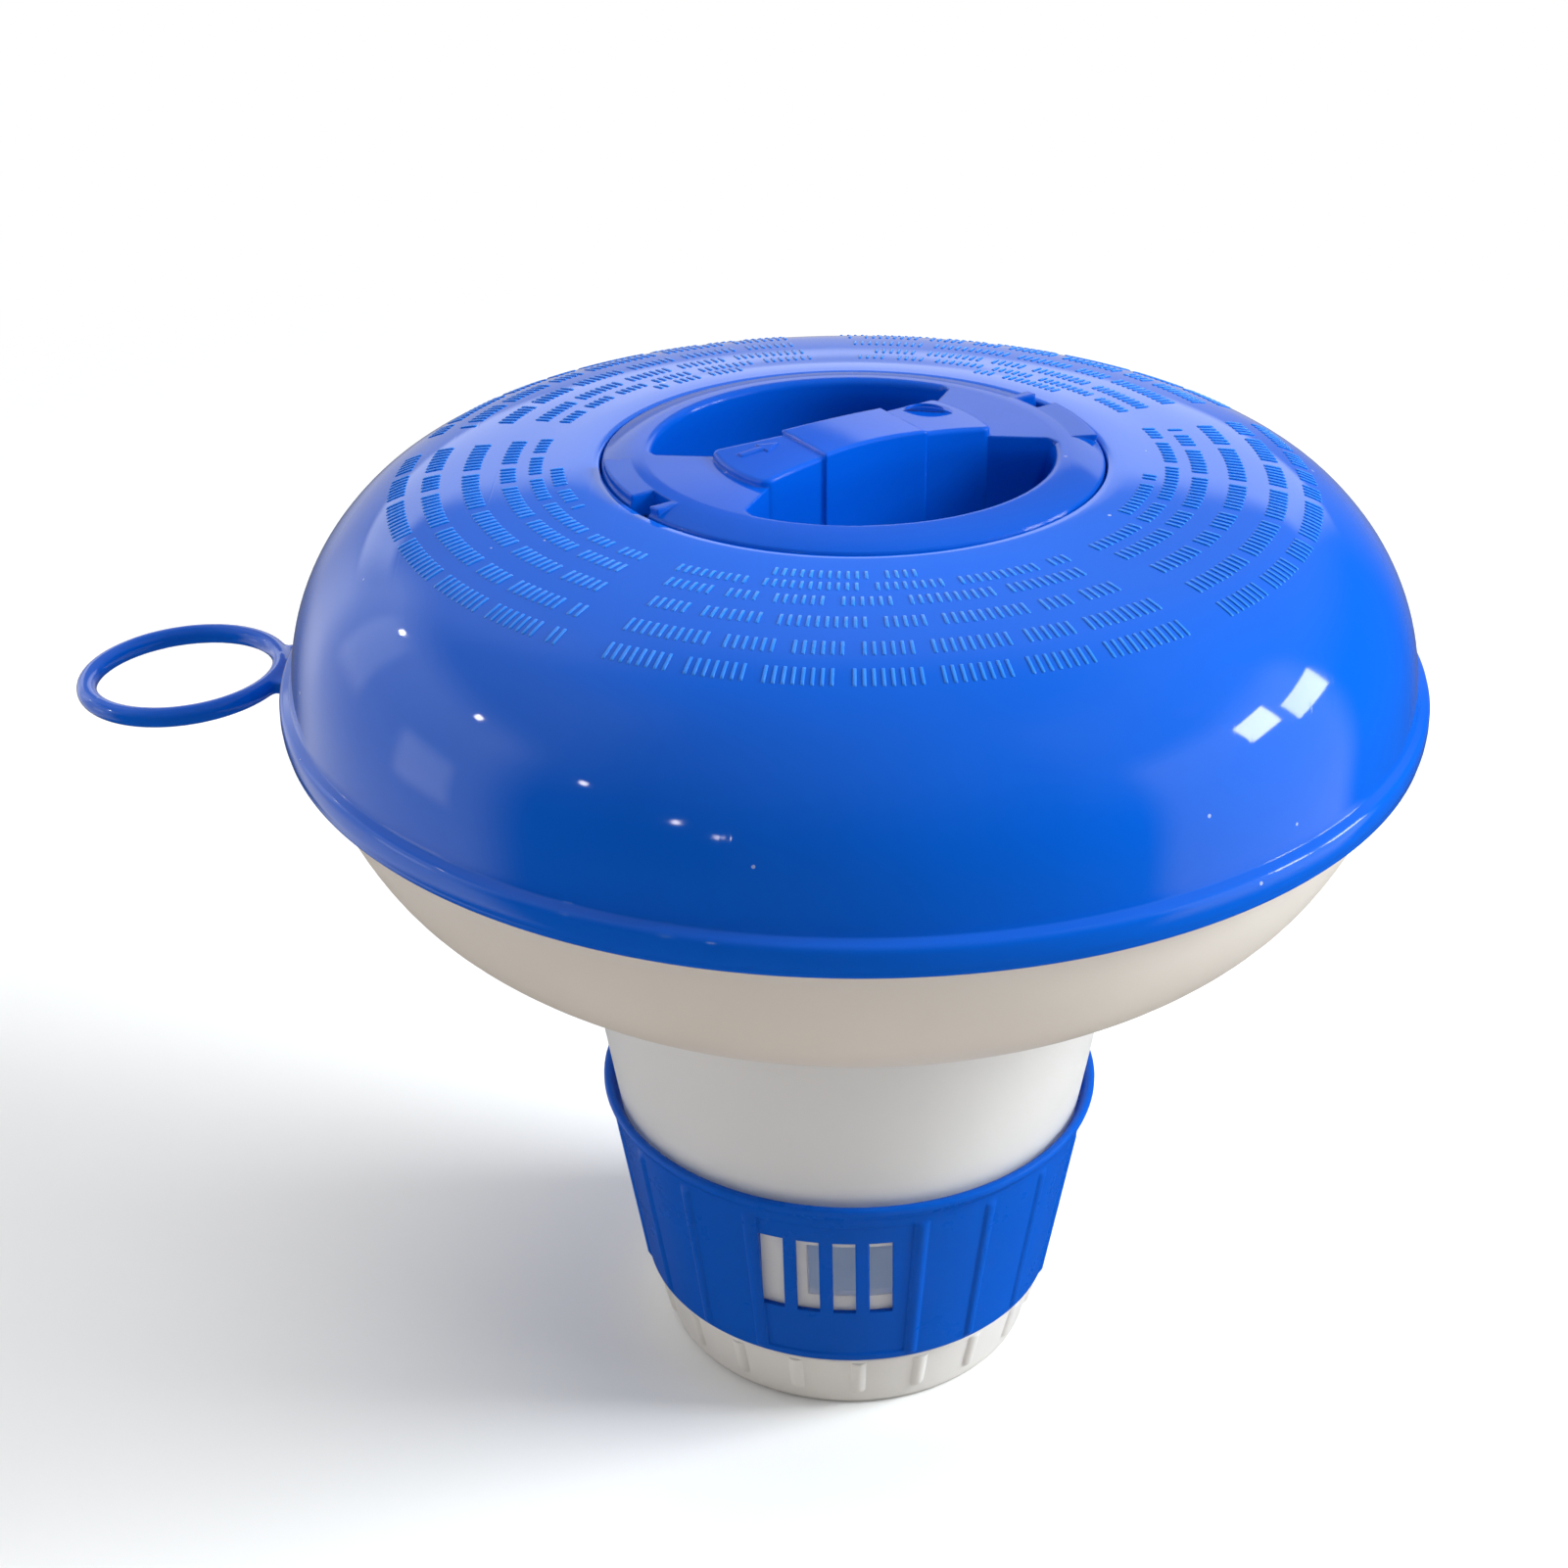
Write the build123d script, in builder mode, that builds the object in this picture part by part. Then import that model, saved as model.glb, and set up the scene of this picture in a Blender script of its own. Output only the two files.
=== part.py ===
from build123d import *
import math
import os

os.makedirs("parts", exist_ok=True)

# ---------------------------------------------------------------------------
# Floating chlorine dispenser: an air-filled float (blue dome over a white
# bowl) around a tapered tablet canister that hangs in the water. A ribbed blue
# sleeve turns on the canister to open or close its windows, a white cap closes
# the bottom and a bayonet cap closes the top.
#
# Frame: origin at the centre of the bottom face, +Z up along the axis.
# Lengths are in mm, angles in degrees about +Z. Heights are measured from the
# seam between dome and bowl unless a comment says from the base, and outlines
# are lists of (radius, height).
# ---------------------------------------------------------------------------
seam_z = 138.4          # seam of the float above the base

# float ---------------------------------------------------------------------
shell_t = 2.2           # wall of dome and bowl
seat_r = 43.6           # opening in the dome for the cap
seat_top = 42.6         # top of the dome around the cap
land_r = 48.6           # raised flat ring around the opening
band_r = 101.3          # rim band, the widest part of the float
band_h = 5.6            # height of the rim band
collar_r = 45.8         # outside of the collar that guides the cap
collar_low = 16.0       # lower end of the collar
track_r = 43.0          # bore below the ledge, where the cap's lugs turn
ledge_r = 40.7          # bore of the bayonet ledge
ledge_low, ledge_top = 35.2, 38.0
dome = [(49.0, 42.22), (56.0, 41.9), (62.0, 41.45), (68.0, 40.8), (74.0, 39.7),
        (79.3, 37.9), (83.2, 35.8), (86.4, 33.4), (89.8, 30.0), (92.9, 26.0),
        (95.2, 22.0), (96.9, 18.0), (98.05, 14.0), (98.8, 10.0), (99.3, 6.6)]
bowl = [(97.0, 0.4), (95.9, -4.0), (94.6, -8.0), (93.1, -12.0), (91.2, -16.0),
        (88.9, -20.0), (85.9, -24.0), (81.9, -28.0), (76.4, -32.0),
        (68.6, -36.2), (60.0, -40.6), (51.3, -45.5)]

# canister ------------------------------------------------------------------
wall = 1.8
taper = 0.157           # radius lost per mm of depth
cone_r, cone_r_z = 46.85, -74.0     # outer radius of the cone and the height it holds at
tube_r = 49.4           # straight upper tube inside the float
shoulder = -45.5        # shoulder the bowl's neck stands on
tube_top = 39.6
cone_end = -124.5
spigot_r = 36.0
spigot_bore = spigot_r - 1.7
spigot_end = -130.0

# sleeve and its stop -------------------------------------------------------
slot_mid = -95.2        # middle of the first group of slots
turn_open, turn_shut = 12.0, -24.0
stop_mid = slot_mid + 90.0
stop_wide = 4.0         # stop lug on the canister
stop_play = 0.4         # left free at each stop

# bayonet -------------------------------------------------------------------
lug_angle = 36.0        # lugs with the cap dropped in, not yet locked
lug_half = 10.0         # half width of a lug
lock_turn = -60.0       # clockwise to lock
skirt_r = 40.2          # outside of the cap's skirt


def up(z):
    """Height above the base of a height measured from the seam."""
    return seam_z + z


def cone(z):
    """Outer radius of the canister's cone."""
    return cone_r + taper * (z - cone_r_z)


def cos_sin(angle):
    return math.cos(math.radians(angle)), math.sin(math.radians(angle))


def section(angle=0.0):
    """Radial section plane: local x points outwards, local y is the height from the seam."""
    c, s = cos_sin(angle)
    return Plane(origin=(0, 0, seam_z), x_dir=(c, s, 0), z_dir=(s, -c, 0))


def level(z, angle=0.0):
    """Level plane on the axis at height z, its x axis turned to the angle."""
    c, s = cos_sin(angle)
    return Plane(origin=(0, 0, up(z)), x_dir=(c, s, 0), z_dir=(0, 0, 1))


def facing(angle, z):
    """Plane on the axis whose normal points outwards at the angle, local y up."""
    c, s = cos_sin(angle)
    return Plane(origin=(0, 0, up(z)), x_dir=(-s, c, 0), z_dir=(c, s, 0))


def leaning(angle, radius, base_z, slope):
    """Plane at a radius and a height from the base, its normal up a wall that
    leans outwards by slope mm per mm of height."""
    c, s = cos_sin(angle)
    return Plane(origin=(radius * c, radius * s, base_z), x_dir=(-s, c, 0),
                 z_dir=(slope * c, slope * s, 1))


def both_sides(angle):
    return angle, angle + 180


def inset(points, distance):
    """Points moved to the right of the direction in which their curve runs."""
    moved = []
    last = len(points) - 1
    for i, (r, z) in enumerate(points):
        r0, z0 = points[max(i - 1, 0)]
        r1, z1 = points[min(i + 1, last)]
        dr, dz = r1 - r0, z1 - z0
        length = math.hypot(dr, dz)
        moved.append((r + distance * dz / length, z - distance * dr / length))
    return moved


def draw_sector(inner_r, outer_r, start, sweep):
    """Outline of a ring sector, drawn in the open BuildLine."""
    outer = CenterArc((0, 0), outer_r, start, sweep)
    inner = CenterArc((0, 0), inner_r, start, sweep)
    Line(outer @ 0, inner @ 0)
    Line(outer @ 1, inner @ 1)


def save(piece, name):
    piece.part.label = name
    export_step(piece.part, f"parts/{name}.step")


# ===========================================================================
# 1. Upper float shell: dome, rim band, collar for the cap, tether loop
# ===========================================================================
dome_in = inset(dome, shell_t)
entry_half = lug_half + 2       # half width of the lugs' entries
ledge_stop_wide, ledge_stop_gap = 3.0, 1.0      # stops under the ledge, gap to the lug
ledge_stop_low = ledge_low - 5.0

loop_x, loop_y, loop_z = -119.5, -5.2, 2.6      # centre of the tether loop
loop_r = 17.3           # centre line
loop_wire = 1.8         # radius of the round bar
loop_droop = 2.6        # degrees below level
web_z = loop_z + 0.75   # mid-height of the web between loop and rim
web_half_t = 1.2

with BuildPart() as upper_float_shell:
    with BuildSketch(section()):
        with BuildLine():
            # seat and land, up to the dome
            Polyline((seat_r, ledge_top), (seat_r, seat_top - 0.5), (seat_r + 0.5, seat_top),
                     (land_r, seat_top), dome[0])
            Spline(*dome, tangents=((1, -0.03), (0.13, -1)))
            # rim band, down its outside and back up inside
            Polyline(dome[-1], (99.6, 6.25), (100.5, 5.9), (101.05, band_h - 0.2),
                     (band_r, 4.6), (band_r + 0.05, 3.0), (band_r - 0.05, 1.9), (101.0, 1.55),
                     (101.05, 1.25), (100.95, 0.6), (100.5, 0.1), (100.1, 0.0), (99.0, 0.0),
                     (99.0, 2.5), (96.7, 2.5), dome_in[-1])
            Spline(*reversed(dome_in[1:]))
            # collar and bayonet ledge
            Polyline(dome_in[1], (50.8, 39.6), (47.5, 39.6), (47.5, 36.4), (collar_r, 34.9),
                     (collar_r, collar_low), (track_r, collar_low), (track_r, ledge_low),
                     (ledge_r, ledge_low), (ledge_r, ledge_top), (seat_r, ledge_top))
        make_face()
    revolve(axis=Axis.Z)
    # entries in the ledge, where the cap's lugs drop in
    for angle in both_sides(lug_angle):
        with BuildSketch(level(ledge_low - 0.1)):
            with BuildLine():
                draw_sector(ledge_r - 1.5, track_r, angle - entry_half, 2 * entry_half)
            make_face()
        extrude(amount=ledge_top - ledge_low + 0.2, mode=Mode.SUBTRACT)
    # stops at both ends of the lugs' travel
    for angle in both_sides(lug_angle):
        for start in (angle + lug_half + ledge_stop_gap,
                      angle + lock_turn - lug_half - ledge_stop_gap - ledge_stop_wide):
            with BuildSketch(level(ledge_stop_low)):
                with BuildLine():
                    draw_sector(ledge_r + 0.1, track_r + 0.6, start, ledge_stop_wide)
                make_face()
            extrude(amount=ledge_low - ledge_stop_low + 0.2)
    # tether loop: a round bar bent to a ring, on a short web at the rim
    droop_cos, droop_sin = cos_sin(loop_droop)
    with Locations(Plane(origin=(loop_x, loop_y, up(loop_z)), x_dir=(1, 0, 0),
                         z_dir=(-droop_sin, 0, droop_cos))):
        Torus(loop_r, loop_wire)
    with BuildSketch(level(web_z, math.degrees(math.atan2(loop_y, loop_x)))):
        with BuildLine():
            ThreePointArc((99.6, 9.8), (101.4, 7.9), (103.4, 8.6))
            Polyline((103.4, 8.6), (102.2, 0), (103.4, -8.6))
            ThreePointArc((103.4, -8.6), (101.4, -7.9), (99.6, -9.8))
            Line((99.6, -9.8), (99.6, 9.8))
        make_face()
    extrude(amount=web_half_t, both=True)
save(upper_float_shell, "upper_float_shell")

# ===========================================================================
# 2. Lower float shell: bowl with a flange that tucks into the rim band and a
#    neck that stands on the canister's shoulder
# ===========================================================================
bowl_in = inset(bowl, shell_t)
flange_in_r, flange_out_r, flange_top = 94.6, 98.85, 2.45
neck_in_r, neck_out_r = tube_r + 0.1, tube_r + 1.9
neck_top = -33.0

with BuildPart() as lower_float_shell:
    with BuildSketch(section()):
        with BuildLine():
            Polyline((flange_in_r, flange_top), (flange_out_r, flange_top), (flange_out_r, 0.4),
                     bowl[0])
            Spline(*bowl)
            Polyline(bowl[-1], (neck_in_r, shoulder), (neck_in_r, neck_top),
                     (neck_out_r, neck_top), (neck_out_r, -42.2), bowl_in[-2])
            Spline(*reversed(bowl_in[1:-1]))
            Line(bowl_in[1], (flange_in_r, flange_top))
        make_face()
    revolve(axis=Axis.Z)
save(lower_float_shell, "lower_float_shell")

# ===========================================================================
# 3. Tablet canister: straight tube through the float, cone below, two windows
# ===========================================================================
bore_meet = cone_r_z + (tube_r - cone_r) / taper    # where straight and conical bore meet
floor_top = cone_end + 1.8      # lower end of the conical bore
window_mid = -83.5              # middle of the first window
window_wide = 33.0              # degrees
window_low, window_high = -107.4, -94.6
stop_top, stop_low = -121.6, cone_end + 0.4
stop_in, stop_out = 0.8, 0.75   # stop lug, into and out of the cone's surface

with BuildPart() as tablet_canister:
    with BuildSketch(section()):
        with BuildLine():
            Polyline((tube_r - wall, tube_top), (tube_r, tube_top), (tube_r, shoulder),
                     (cone(shoulder), shoulder), (cone(cone_end), cone_end),
                     # spigot with its snap bead
                     (spigot_r, cone_end), (spigot_r, -126.8), (spigot_r + 0.4, -127.4),
                     (spigot_r + 0.4, -127.9), (spigot_r, -128.5), (spigot_r, spigot_end),
                     (spigot_bore, spigot_end), (spigot_bore, cone_end + 0.6),
                     # bore
                     (cone(floor_top) - wall, floor_top),
                     (tube_r - wall, bore_meet), (tube_r - wall, tube_top))
        make_face()
    revolve(axis=Axis.Z)
    for angle in both_sides(window_mid):
        with BuildSketch(level(window_low)):
            with BuildLine():
                draw_sector(30, 60, angle - window_wide / 2, window_wide)
            make_face()
        extrude(amount=window_high - window_low, mode=Mode.SUBTRACT)
    # stop lug that runs in the sleeve's groove
    with BuildSketch(section(stop_mid - stop_wide / 2)):
        with BuildLine():
            Polyline((cone(stop_top) - stop_in, stop_top), (cone(stop_top) + stop_out, stop_top),
                     (cone(stop_low) + stop_out, stop_low), (cone(stop_low) - stop_in, stop_low),
                     close=True)
        make_face()
    revolve(axis=Axis.Z, revolution_arc=stop_wide)
save(tablet_canister, "tablet_canister")

# ===========================================================================
# 4. Flow sleeve: tapered ring with a lip, grip ribs and two groups of slots
# ===========================================================================
run = 0.10                      # running gap between sleeve and canister
sleeve_t = 1.46                 # wall outside the canister's cone, gap included
sleeve_low, sleeve_top = -124.4, -83.0
lip_r, lip_low, lip_bore = 47.9, -85.2, 46.5
core_r = 30                     # blank's inner radius, cleared by the bore later
rib_first = -93.0 + 20.5        # the first rib on each side
rib_step, rib_count = 17.375, 9
rib_low, rib_high = -123.2, -88.2
rib_r, rib_sink = 1.6, 1.1      # rib radius, depth of its centre line under the skin
panel_mid, panel_half = -93.0, 18.6     # panels that carry the slots, degrees
panel_low, panel_high = -122.4, -88.3
panel_deep = 0.35
groove_top, groove_low = -121.2, sleeve_low - 0.3
groove_in, groove_out = 1.0, 0.88       # into and out of the cone's surface
slot_pitch, slot_w, slot_count = 6.75, 4.3, 4
slot_low, slot_high = -111.2, -92.7


def skin(z):
    """Outer radius of the sleeve's tapered wall."""
    return cone(z) + sleeve_t


with BuildPart() as flow_sleeve:
    with BuildSketch(section()):
        with BuildLine():
            Polyline((core_r, sleeve_low), (skin(sleeve_low) - 0.35, sleeve_low),
                     (skin(sleeve_low + 0.4), sleeve_low + 0.4),
                     (skin(lip_low - 0.9), lip_low - 0.9), (lip_r - 0.7, lip_low),
                     (lip_r - 0.2, lip_low + 0.5), (lip_r, sleeve_top - 0.4),
                     (lip_r - 0.35, sleeve_top), (core_r, sleeve_top), close=True)
        make_face()
    revolve(axis=Axis.Z)
    # half-round grip ribs along the taper, left out across the slots
    rib_mid_z = (rib_low + rib_high) / 2
    for k in range(rib_count):
        for angle in both_sides(rib_first + k * rib_step):
            with Locations(leaning(angle, skin(rib_mid_z) - rib_sink, up(rib_mid_z), taper)):
                Cylinder(rib_r, (rib_high - rib_low) * math.hypot(1, taper))
    # the panels that carry the slots lie a little deeper than the ribbed wall
    for angle in both_sides(panel_mid):
        with BuildSketch(section(angle - panel_half)):
            with BuildLine():
                Polyline((skin(panel_low) - panel_deep, panel_low),
                         (skin(panel_high) - panel_deep, panel_high),
                         (skin(panel_high) + 2.0, panel_high),
                         (skin(panel_low) + 2.0, panel_low), close=True)
            make_face()
        revolve(axis=Axis.Z, revolution_arc=2 * panel_half, mode=Mode.SUBTRACT)
    # bore: the canister's cone plus the running gap, opened out under the lip
    with BuildSketch(section()):
        with BuildLine():
            Polyline((0, sleeve_low - 1), (cone(sleeve_low - 1) + run, sleeve_low - 1),
                     (cone(-86.0) + run, -86.0), (cone(-86.0) + run + 0.25, -85.4),
                     (lip_bore, sleeve_top), (lip_bore, sleeve_top + 1), (0, sleeve_top + 1),
                     close=True)
        make_face()
    revolve(axis=Axis.Z, mode=Mode.SUBTRACT)
    # stop groove inside the lower edge
    with BuildSketch(section(stop_mid - turn_open - stop_wide / 2 - stop_play)):
        with BuildLine():
            Polyline((cone(groove_top) - groove_in, groove_top),
                     (cone(groove_top) + groove_out, groove_top),
                     (cone(groove_low) + groove_out, groove_low),
                     (cone(groove_low) - groove_in, groove_low), close=True)
        make_face()
    revolve(axis=Axis.Z, revolution_arc=turn_open - turn_shut + stop_wide + 2 * stop_play,
            mode=Mode.SUBTRACT)
    # slots on each side
    for angle in both_sides(slot_mid):
        with BuildSketch(facing(angle, (slot_low + slot_high) / 2)):
            with GridLocations(slot_pitch, 1, slot_count, 1):
                RectangleRounded(slot_w, slot_high - slot_low, 0.35)
        extrude(amount=60, mode=Mode.SUBTRACT)
save(flow_sleeve, "flow_sleeve")

# ===========================================================================
# 5. Bottom cap: ribbed cup snapped over the canister's spigot
#    (heights without up() are from the base)
# ===========================================================================
flange_r = 39.6
foot_r, foot_z = 36.3, 1.2      # lower end of the cup's side
side_r, side_z = 39.0, up(-125.7)       # upper end of the cup's side
side_slope = (side_r - foot_r) / (side_z - foot_z)
socket_r = spigot_r + 0.1
floor_t = 1.8
grip_count, grip_first = 20, -86.6
grip_low, grip_high = 4.6, 12.6
grip_r, grip_sink = 1.75, 1.05  # rib radius, depth of its centre line under the side


def grip_line(z):
    """Radius of the grip ribs' centre lines."""
    return foot_r + side_slope * (z - foot_z) - grip_sink


with BuildPart() as bottom_cap:
    with BuildSketch(Plane.XZ):
        with BuildLine():
            Polyline((0, 0), (foot_r - 1.2, 0), (foot_r - 0.35, 0.35), (foot_r, foot_z),
                     (side_r, side_z), (flange_r, up(-125.5)), (flange_r, up(-124.9)),
                     (flange_r - 0.3, up(-124.6)), (0, up(-124.6)), close=True)
        make_face()
    revolve(axis=Axis.Z)
    # grip ribs, rounded at the lower end
    grip_mid = (grip_low + grip_high) / 2
    for k in range(grip_count):
        angle = grip_first + k * 360 / grip_count
        with Locations(leaning(angle, grip_line(grip_mid), grip_mid, side_slope)):
            Cylinder(grip_r, (grip_high - grip_low) * math.hypot(1, side_slope))
        c, s = cos_sin(angle)
        with Locations((grip_line(grip_low) * c, grip_line(grip_low) * s, grip_low)):
            Sphere(grip_r)
    # inside: socket with a snap groove for the spigot, then the floor
    with BuildSketch(Plane.XZ):
        with BuildLine():
            Polyline((0, up(-124.0)), (socket_r, up(-124.0)), (socket_r, up(-126.7)),
                     (spigot_r + 0.55, up(-127.35)), (spigot_r + 0.55, up(-127.95)),
                     (socket_r, up(-128.6)), (socket_r, up(spigot_end)),
                     (spigot_bore, up(spigot_end)), (spigot_bore - 0.5, floor_t),
                     (0, floor_t), close=True)
        make_face()
    revolve(axis=Axis.Z, mode=Mode.SUBTRACT)
save(bottom_cap, "bottom_cap")

# ===========================================================================
# 6. Locking cap: rim, skirt with two lugs, two finger pockets and the bar.
#    In the bar's planes x runs along the bar and y across it.
# ===========================================================================
bar_angle = 33.5                # direction of the finger bar
cap_r = 43.3
rim_top = 44.3
skirt_in_r, skirt_low = 38.2, 18.5
rim_under = 40.2                # underside of the rim, outside the skirt
plate_under = 42.1              # underside of the top plate

pocket_r = 34.6
pocket_floor = 20.0
cup_t = 1.8                     # wall of the cups around the pockets
cup_low, cup_top = 18.0, 42.6
pocket_y = 15.2                 # outer corner of a pocket, on the pocket circle
pocket_x = math.sqrt(pocket_r ** 2 - pocket_y ** 2)

bar_end_r = 24.6
waist = 6.0                     # half width of the bar at its middle
bar_y = 9.0                     # corner of the bar, on its end circle
bar_x = math.sqrt(bar_end_r ** 2 - bar_y ** 2)
bar_stock = 29.0                # height of the bar before its top is trimmed
bar_arch = [(-26, 45.3), (0, 46.85), (26, 45.55)]       # arched top: (x, height)
mid_x0, mid_x1 = -10.1, 10.5    # middle field of the bar
mid_extra = 0.55                # by which it is wider on each side
trim_half = 20                  # half width of the cuts that trim the arches

# the pockets' inner corners, moved a little into the bar
bite = 0.6 / math.hypot(pocket_x - bar_x, pocket_y - bar_y)
bite_x = bar_x - bite * (pocket_x - bar_x)
bite_y = bar_y - bite * (pocket_y - bar_y)

mouth_from = math.degrees(math.asin(pocket_y / pocket_r)) + 1.5
# rounding of the pockets' outer edge: (degrees left out at each end, radius)
mouth_rounds = [(0, 0.5), (0.8, 0.85), (1.6, 1.2)]

thumb_r, thumb_top = 11.0, 47.2         # sphere the thumb mark's lip is cut from
bar_cos, bar_sin = cos_sin(bar_angle)
thumb_x = 17.0 * bar_cos - 3.0 * bar_sin
thumb_y = 17.0 * bar_sin + 3.0 * bar_cos
arrow_proud = 0.25


def draw_strip(end_y, corner_y, waist_y):
    """Outline of the bar in the open BuildLine, half widths given, open-ended to x = +-30."""
    Line((-30, -end_y), (-bar_x, -corner_y))
    ThreePointArc((-bar_x, -corner_y), (0, -waist_y), (bar_x, -corner_y))
    Line((bar_x, -corner_y), (30, -end_y))
    Line((30, -end_y), (30, end_y))
    Line((30, end_y), (bar_x, corner_y))
    ThreePointArc((bar_x, corner_y), (0, waist_y), (-bar_x, corner_y))
    Line((-bar_x, corner_y), (-30, end_y))
    Line((-30, end_y), (-30, -end_y))


def draw_pocket(side, corner_x, corner_y, waist_y):
    """Outline of the pocket on one side (1 or -1) of the bar, in the open BuildLine."""
    ThreePointArc((pocket_x, side * pocket_y), (0, side * pocket_r), (-pocket_x, side * pocket_y))
    Line((-pocket_x, side * pocket_y), (-corner_x, side * corner_y))
    ThreePointArc((-corner_x, side * corner_y), (0, side * waist_y), (corner_x, side * corner_y))
    Line((corner_x, side * corner_y), (pocket_x, side * pocket_y))


def draw_above(start, middle, end):
    """Outline of the region above an arch, in the open BuildLine."""
    ThreePointArc(start, middle, end)
    Polyline(end, (end[0], 60), (start[0], 60), start)


# finger bar: stands from the pocket floor, arched on top, all upper edges rounded
with BuildPart() as bar_blank:
    with BuildSketch(level(pocket_floor, bar_angle)):
        Circle(bar_end_r)
        with BuildLine():
            draw_strip(10.2, bar_y, waist)
        make_face(mode=Mode.INTERSECT)
    extrude(amount=bar_stock)
    with BuildSketch(section(bar_angle)):
        with BuildLine():
            draw_above(*bar_arch)
        make_face()
    extrude(amount=trim_half, both=True, mode=Mode.SUBTRACT)
    fillet(bar_blank.edges().filter_by(Axis.Z), 1.6)
    fillet(bar_blank.edges().filter_by(lambda edge: edge.center().Z > up(45.2)), 0.7)

# lip of the thumb mark: low and round, cut straight on its -Y side
with BuildPart() as thumb_lip:
    with Locations((thumb_x, thumb_y, up(thumb_top - thumb_r))):
        Sphere(thumb_r)
    with Locations((thumb_x, thumb_y, up(45.0))):
        Box(30, 30, 30, align=(Align.CENTER, Align.CENTER, Align.MAX), mode=Mode.SUBTRACT)
    with Locations((thumb_x, thumb_y, up(45.0))):
        Box(30, 30, 30, align=(Align.CENTER, Align.MAX, Align.CENTER), mode=Mode.SUBTRACT)

# turning arrow: follows the arched top of the bar, a little proud of it
with BuildPart() as arrow_blank:
    with BuildSketch(level(45.0, bar_angle)):
        with BuildLine():
            Polyline((-20.8, 2.5), (-16.4, 2.5), (-16.4, 1.3), (-13.0, 3.2), (-16.4, 5.1),
                     (-16.4, 3.9), (-20.8, 3.9), close=True)
        make_face()
    extrude(amount=4.0)
    with BuildSketch(section(bar_angle)):
        with BuildLine():
            draw_above(*[(x, z + arrow_proud) for x, z in bar_arch])
        make_face()
    extrude(amount=trim_half, both=True, mode=Mode.SUBTRACT)

with BuildPart() as locking_cap:
    with BuildSketch(section()):
        with BuildLine():
            Polyline((0, plate_under), (skirt_in_r, plate_under), (skirt_in_r, skirt_low),
                     (skirt_r - 0.6, skirt_low), (skirt_r, 19.6), (skirt_r, rim_under),
                     (cap_r - 0.3, rim_under), (cap_r, 40.5), (cap_r, 42.4),
                     (cap_r - 0.25, 42.85))
            TangentArc((36.0, rim_top), (cap_r - 0.25, 42.85), tangent=(1, 0))
            Polyline((36.0, rim_top), (0, rim_top), (0, plate_under))
        make_face()
    revolve(axis=Axis.Z)
    # cups of the two pockets, closed below
    for side in (1, -1):
        with BuildSketch(level(cup_low, bar_angle)):
            with BuildLine():
                draw_pocket(side, bar_x, bar_y, waist)
            make_face()
            offset(amount=cup_t, kind=Kind.INTERSECTION)
        extrude(amount=cup_top - cup_low)
    # the pockets, cut a little into the bar, which is put back whole afterwards
    for side in (1, -1):
        with BuildSketch(level(pocket_floor, bar_angle)):
            with BuildLine():
                draw_pocket(side, bite_x, bite_y, waist - 0.5)
            make_face()
        extrude(amount=40, mode=Mode.SUBTRACT)
    # soften the edges a hand touches: pocket corners and pocket mouths
    fillet(locking_cap.edges().filter_by(Axis.Z).filter_by(
        lambda edge: abs(math.hypot(edge.center().X, edge.center().Y) - pocket_r) < 0.1
        and edge.length > 20), 1.2)
    for start in both_sides(bar_angle + mouth_from):
        for trim, r in mouth_rounds:
            arc_in = (1 - math.sqrt(0.5)) * r
            with BuildSketch(section(start + trim)):
                with BuildLine():
                    Polyline((pocket_r + r, rim_top), (pocket_r + r, rim_top + 0.5),
                             (pocket_r - 0.3, rim_top + 0.5), (pocket_r - 0.3, rim_top - r),
                             (pocket_r, rim_top - r))
                    ThreePointArc((pocket_r, rim_top - r), (pocket_r + arc_in, rim_top - arc_in),
                                  (pocket_r + r, rim_top))
                make_face()
            revolve(axis=Axis.Z, revolution_arc=180 - 2 * mouth_from - 2 * trim,
                    mode=Mode.SUBTRACT)
    add(bar_blank.part)
    # middle field of the bar: a little higher and wider than its ends
    mid_y, mid_waist = bar_y + mid_extra, waist + mid_extra
    mid_x = (mid_x0 + mid_x1) / 2
    with BuildSketch(level(pocket_floor - 0.5, bar_angle)):
        with Locations((mid_x, 0)):
            Rectangle(mid_x1 - mid_x0, 30)
        with BuildLine():
            ThreePointArc((-bar_x, -mid_y), (0, -mid_waist), (bar_x, -mid_y))
            Line((bar_x, -mid_y), (bar_x, mid_y))
            ThreePointArc((bar_x, mid_y), (0, mid_waist), (-bar_x, mid_y))
            Line((-bar_x, mid_y), (-bar_x, -mid_y))
        make_face(mode=Mode.INTERSECT)
    extrude(amount=bar_stock)
    with BuildSketch(section(bar_angle)):
        with BuildLine():
            draw_above((mid_x0 - 1, 47.1), (mid_x, 47.6), (mid_x1 + 1, 47.1))
        make_face()
    extrude(amount=trim_half, both=True, mode=Mode.SUBTRACT)
    fillet(locking_cap.edges().filter_by(lambda edge: edge.center().Z > up(46.98)), 0.45)
    # hollow under the bar, down to the open space between the cups
    with BuildSketch(level(cup_low, bar_angle)):
        Circle(bar_end_r - 2.2)
        with BuildLine():
            draw_strip(8.0, bar_y - cup_t, waist - cup_t)
        make_face(mode=Mode.INTERSECT)
    extrude(amount=43.6 - cup_low, mode=Mode.SUBTRACT)
    # flat fields that run from the bar's ends to the edge
    for start in both_sides(-171.5):
        with BuildSketch(level(42.3)):
            with BuildLine():
                draw_sector(36.2, cap_r - 0.35, start, 34)
            make_face()
        extrude(amount=1.85)
    # openings in the rim above the lugs
    for angle in both_sides(lug_angle):
        with BuildSketch(level(39.0, angle)):
            with Locations((41.3, 0)):
                Rectangle(5.4, 5.7)
        extrude(amount=7.0, mode=Mode.SUBTRACT)
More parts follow.
